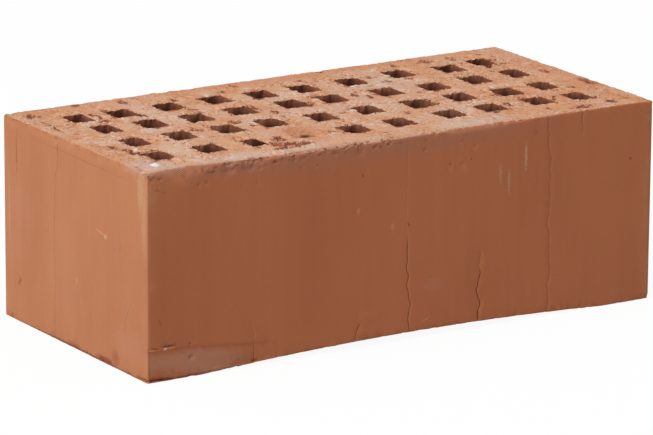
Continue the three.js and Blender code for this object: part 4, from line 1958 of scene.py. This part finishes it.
@dataclass
class Charts:
    """How the brick's skin is laid flat, in millimetres on a square sheet."""

    block: Block
    cores: Cores
    sheet: float = 380.0
    margin: float = 2.0
    fold: float = 0.9  # how much of an arris's drop goes outwards
    face_places: tuple[tuple[float, float], ...] = (  # of the front, right, back and left
        (2.0, 130.0), (256.0, 96.0), (2.0, 222.0), (256.0, 4.0),
    )
    face_scales: tuple[float, ...] = (1.0, 1.0, 0.8, 1.0)
    lower_place: tuple[float, float] = (206.0, 222.0)
    lower_scale: float = 0.6
    cores_level: float = 300.0
    core_scale: float = 0.32
    core_radius: float = 7.0  # at which a perforation's wall is unrolled
    roof_reach: float = 5.0  # how far from the middle a roof's own chart starts
    cores_in_row: int = 20

    def lay(self, mesh: bpy.types.Mesh) -> None:
        """Gives the mesh its flat layout, as the UV map that painted finishes use.

        Args:
            mesh: The brick's mesh, all triangles, with bore and face at its points.
        """
        corners = read_mesh(mesh.loops, "vertex_index", np.int32)
        corner = read_mesh(mesh.vertices, "co")[corners].reshape(-1, 3, 3).astype(float) / MM
        bore = self._share(mesh, "bore", corners) > 0.5
        face = ~bore & (self._share(mesh, "face", corners) > 0.5)
        middle = corner.mean(1)
        upper = ~bore & ~face & (middle[:, 2] > self.block.height / 2)
        lower = ~bore & ~face & ~upper
        flat = np.zeros((len(corner), 3, 2))
        flat[upper] = self._bed(corner[upper], self.block.height)
        right_end = np.array(self.lower_place) + [self.block.length * self.lower_scale, 0]
        mirrored = self._bed(corner[lower], 0.0) * [-self.lower_scale, self.lower_scale]
        flat[lower] = mirrored + right_end
        self._lay_faces(flat, corner, middle, face)
        flat[bore] = self._lay_cores(corner[bore], middle[bore])
        layout = mesh.uv_layers.new(name="OFBake")
        layout.data.foreach_set("uv", (flat.reshape(-1) / self.sheet).astype(np.float32))

    @staticmethod
    def _share(mesh: bpy.types.Mesh, name: str, corners: Array) -> Array:
        """The mean of a point attribute over each triangle's corners."""
        return read_mesh(mesh.attributes[name].data, "value")[corners].reshape(-1, 3).mean(1)

    def _bed(self, corner: Array, level: float) -> Array:
        """Lays a bed flat by its plan, with the arrises folded out.

        A point on an arris moves outwards by a share of its distance from the bed's level.

        Args:
            corner: The triangles' corners.
            level: The bed's level.

        Returns:
            Places on the sheet, with the bed's front left corner near the margin.
        """
        half_x, half_y = self.block.length / 2, self.block.width / 2
        x, y = corner[..., 0], corner[..., 1]
        fold = self.fold * np.abs(corner[..., 2] - level)
        x = x + np.sign(x) * fold * ease(np.abs(x), half_x - 7, half_x - 1) * 0.5
        y = y + np.sign(y) * fold * ease(np.abs(y), half_y - 7, half_y - 1) * 0.5
        return np.stack([x + half_x + 3 + self.margin, y + half_y + 3 + self.margin], axis=-1)

    def _lay_faces(self, flat: Array, corner: Array, middle: Array, face: Array) -> None:
        """Lays the four faces flat, each by its own plane.

        Args:
            flat: Places on the sheet, which are filled in.
            corner: The triangles' corners.
            middle: Their middles.
            face: Which triangles belong to the faces.
        """
        half_x, half_y = self.block.length / 2, self.block.width / 2
        mid_x, mid_y = middle[:, 0], middle[:, 1]
        away = [half_y + mid_y, half_x - mid_x, half_y - mid_y, half_x + mid_x]
        nearest = np.argmin(away, axis=0)
        x, y, z = corner[..., 0], corner[..., 1], corner[..., 2]
        along = (x + half_x, y + half_y, half_x - x, half_y - y)
        for number, (place, scale) in enumerate(zip(self.face_places, self.face_scales)):
            here = face & (nearest == number)
            laid = np.stack([along[number], z], axis=-1)[here] * scale
            flat[here] = laid + np.array(place)

    def _lay_cores(self, corner: Array, middle: Array) -> Array:
        """Unrolls the perforations: the way round by its angle, and the height as it is.

        A roof inside a sealed one is laid out above its wall, by how far a point has come in.

        Args:
            corner: The triangles' corners.
            middle: Their middles.

        Returns:
            Places on the sheet.
        """
        middles = self.cores.middles().reshape(-1, 2)
        number = np.linalg.norm(middle[:, None, :2] - middles, axis=-1).argmin(1)
        way = corner[..., :2] - middles[number][:, None]
        turn = np.arctan2(way[..., 1], way[..., 0])
        split = (turn.max(1) - turn.min(1) > math.pi)[:, None] & (turn < 0)
        turn = np.where(split, turn + 2 * math.pi, turn)
        around = (turn + math.pi) * self.core_radius
        come_in = np.clip(self.roof_reach - np.linalg.norm(way, axis=-1), 0, None)
        laid = np.stack([around, corner[..., 2] + come_in], axis=-1) * self.core_scale
        step_x = (3 * math.pi * self.core_radius) * self.core_scale - 2.5
        step_y = (self.block.height + 6) * self.core_scale
        place = np.stack([number % self.cores_in_row, number // self.cores_in_row], axis=-1)
        return laid + (place * [step_x, step_y] + [self.margin, self.cores_level])[:, None]


@dataclass
class Brick:
    """The whole brick: its surface, its relief, and its finish."""

    block: Block
    cores: Cores
    fineness: Fineness = field(default_factory=Fineness)
    clay: FiredClay = field(default_factory=FiredClay)

    @classmethod
    def from_frame(cls) -> Self:
        """Reads the brick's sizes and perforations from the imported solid.

        Returns:
            The brick.
        """
        block = Block.from_frame()
        triangles = solid_triangles(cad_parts[BRICK_NODE])
        return cls(block, Cores.from_solid(triangles, ROWS, block.height / 2, block.height - NEAR_TOP))

    def build(self) -> bpy.types.Object:
        """Builds the brick's mesh.

        Returns:
            The piece.
        """
        surface = BlockSurface(self.block, self.cores, self.fineness).build()
        points, quads, stretch, depth = surface.joined()
        normals = vertex_normals(points, quads)
        cut, masks = Relief(self.block, self.cores, points, normals, stretch, depth).cut()
        points = points - normals * cut[:, None]
        half_x, half_y = self.block.length / 2, self.block.width / 2
        points = np.clip(points, [-half_x, -half_y, 0], [half_x, half_y, self.block.height])
        masks["face"] = (stretch == Stretch.FACE.value).astype(float)
        piece = self._piece("clay_brick", points, quads, masks)
        log.info("%s: %d points before thinning", piece.name, len(points))
        self._thin(piece)
        Charts(self.block, self.cores).lay(piece.data)
        return piece

    @staticmethod
    def _piece(name: str, points: Array, quads: Array, masks: dict[str, Array]) -> bpy.types.Object:
        """Makes an object from arrays.

        Args:
            name: The object's name.
            points: Points in millimetres.
            quads: Point numbers, m by 4.
            masks: Numbers for each point, by name.

        Returns:
            The object.
        """
        mesh = bpy.data.meshes.new(name)
        mesh.vertices.add(len(points))
        mesh.vertices.foreach_set("co", (points * MM).astype(np.float32).ravel())
        mesh.loops.add(quads.size)
        mesh.loops.foreach_set("vertex_index", quads.astype(np.int32).ravel())
        mesh.polygons.add(len(quads))
        mesh.polygons.foreach_set("loop_start", np.arange(0, quads.size, 4, dtype=np.int32))
        mesh.update(calc_edges=True)
        for key, values in masks.items():
            attribute = mesh.attributes.new(key, "FLOAT", "POINT")
            attribute.data.foreach_set("value", values.astype(np.float32))
        piece = bpy.data.objects.new(name, mesh)
        bpy.context.scene.collection.objects.link(piece)
        return piece

    def _thin(self, piece: bpy.types.Object) -> None:
        """Joins triangles where the surface is nearly flat, down to the number wanted.

        The cracks' lines are spared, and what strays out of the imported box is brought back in.

        Args:
            piece: The brick.
        """
        crack = read_mesh(piece.data.attributes["crack"].data, "value")
        free = piece.vertex_groups.new(name="free")
        free.add(np.flatnonzero(crack < self.fineness.spared).tolist(), 1.0, "REPLACE")
        thinning = piece.modifiers.new("thinning", "DECIMATE")
        thinning.vertex_group = free.name
        thinning.vertex_group_factor = 1.0
        whole = 2 * len(piece.data.polygons)
        thinning.ratio = min(1.0, self.fineness.triangles / whole)
        thinning.use_collapse_triangulate = True
        evaluated = piece.evaluated_get(bpy.context.evaluated_depsgraph_get())
        thinned = bpy.data.meshes.new_from_object(evaluated)
        piece.modifiers.clear()
        piece.vertex_groups.clear()
        piece.data = thinned
        points = np.clip(read_mesh(thinned.vertices, "co"), *np.array(CAD_BOX, np.float32))
        thinned.vertices.foreach_set("co", points.ravel())
        thinned.shade_smooth()
        thinned.set_sharp_from_angle(angle=math.radians(self.fineness.crisp_angle))

    def dress(self, piece: bpy.types.Object) -> None:
        """Gives the piece its clay, and ties it to the frame.

        Args:
            piece: The brick.
        """
        piece.data.materials.clear()
        piece.data.materials.append(self.clay.make())
        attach(piece, BODY)
        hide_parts(BRICK_NODE)


# ---- The studio ----


@dataclass(frozen=True)
class Lamp:
    """A soft square lamp that faces the brick."""

    name: str
    way: Triple  # the direction in which it hangs
    distance: float
    size: float
    power: float

    def build(self) -> None:
        """Hangs the lamp."""
        data = bpy.data.lights.new(self.name, "AREA")
        data.size, data.energy = self.size, self.power
        lamp = bpy.data.objects.new(self.name, data)
        way = Vector(self.way).normalized()
        lamp.location = way * self.distance
        lamp.rotation_euler = way.to_track_quat("Z", "Y").to_euler()
        bpy.context.scene.collection.objects.link(lamp)


@dataclass
class Studio:
    """The floor, the light and the camera."""

    eye: Triple = (-1.09033, -1.71892, 0.5794)
    heading: float = 32.3477  # degrees from +Y towards +X
    dip: float = 14.8605  # degrees below the level
    roll: float = 0.3829
    lens: float = 272.15
    sensor: float = 36.0
    key: Lamp = Lamp("key", (-0.86, -0.20, 0.48), 5.0, 2.0, 155.0)
    overhead: Lamp = Lamp("overhead", (-0.1, -0.1, 1.0), 4.0, 2.4, 44.0)
    sky: float = 0.40
    floor_size: float = 12.0
    floor_colour: Colour = (0.40, 0.395, 0.39, 1.0)
    floor_shown: Colour = WHITE
    floor_shows_white: float = 0.93
    floor_level: float = -0.05  # millimetres
    clip: tuple[float, float] = (0.05, 50.0)

    def build(self) -> None:
        """Builds the floor, the light and the camera."""
        self._camera()
        self.key.build()
        self.overhead.build()
        self._world()
        self._floor()
        bpy.context.scene.view_settings.view_transform = "Standard"

    def _camera(self) -> None:
        """Stands the camera at the eye, turned by its heading, dip and roll."""
        data = bpy.data.cameras.new("camera")
        data.sensor_fit = "HORIZONTAL"
        data.sensor_width, data.lens = self.sensor, self.lens
        data.clip_start, data.clip_end = self.clip
        camera = bpy.data.objects.new("camera", data)
        turned = (
            Matrix.Rotation(-math.radians(self.heading), 4, "Z")
            @ Matrix.Rotation(math.radians(90.0 - self.dip), 4, "X")
            @ Matrix.Rotation(math.radians(self.roll), 4, "Z")
        )
        camera.matrix_world = Matrix.Translation(self.eye) @ turned
        bpy.context.scene.collection.objects.link(camera)
        bpy.context.scene.camera = camera

    def _white_to_camera(self, nodes: Nodes) -> Value:
        """1 for the rays that show the background: from the camera, mirrors and glass.

        Args:
            nodes: Where they are read.

        Returns:
            The share.
        """
        path = nodes.add("LightPath", {})
        shown = Value(nodes, path.outputs["Is Camera Ray"])
        for name in ("Is Glossy Ray", "Is Transmission Ray"):
            shown = shown.highest(Value(nodes, path.outputs[name]))
        return shown

    def _world(self) -> None:
        """Fills the sky with a plain soft light that shows as white."""
        world = bpy.data.worlds.new("studio")
        world.use_nodes = True
        world.node_tree.nodes.clear()
        nodes = Nodes(world.node_tree)
        shown = self._white_to_camera(nodes)
        strength = self.sky + shown * (1.0 - self.sky)
        light = nodes.add("Background", {"Color": WHITE, "Strength": strength})
        nodes.add("OutputWorld", {"Surface": light.outputs[0]})
        bpy.context.scene.world = world

    def _floor(self) -> None:
        """Lays a pale floor that shows nearly white and keeps the brick's shadow."""
        half, low = self.floor_size / 2, self.floor_level * MM
        mesh = bpy.data.meshes.new("floor")
        corners = [(-half, -half, low), (half, -half, low), (half, half, low), (-half, half, low)]
        mesh.from_pydata(corners, [], [(0, 1, 2, 3)])
        floor = bpy.data.objects.new("floor", mesh)
        bpy.context.scene.collection.objects.link(floor)
        material = bpy.data.materials.new("floor")
        material.use_nodes = True
        material.node_tree.nodes.clear()
        nodes = Nodes(material.node_tree)
        shown = self._white_to_camera(nodes)
        colour = nodes.mix(shown, self.floor_colour, self.floor_shown)
        matt = nodes.add("BsdfDiffuse", {"Color": colour}).outputs[0]
        white = nodes.add("Emission", {"Color": WHITE}).outputs[0]
        share = shown * self.floor_shows_white
        mixed = nodes.add("MixShader", {0: share, 1: matt, 2: white})
        nodes.add("OutputMaterial", {"Surface": mixed.outputs[0]})
        mesh.materials.append(material)


def main() -> None:
    """Builds the studio and the brick."""
    logging.basicConfig(level=logging.INFO, format="%(name)s: %(message)s")
    Studio().build()
    brick = Brick.from_frame()
    log.info("%d perforations, %s sealed", brick.cores.low[..., 0].size, brick.cores.sealed)
    piece = brick.build()
    brick.dress(piece)
    log.info("%s: %d triangles", piece.name, len(piece.data.polygons))


if __name__ == "__main__":
    main()
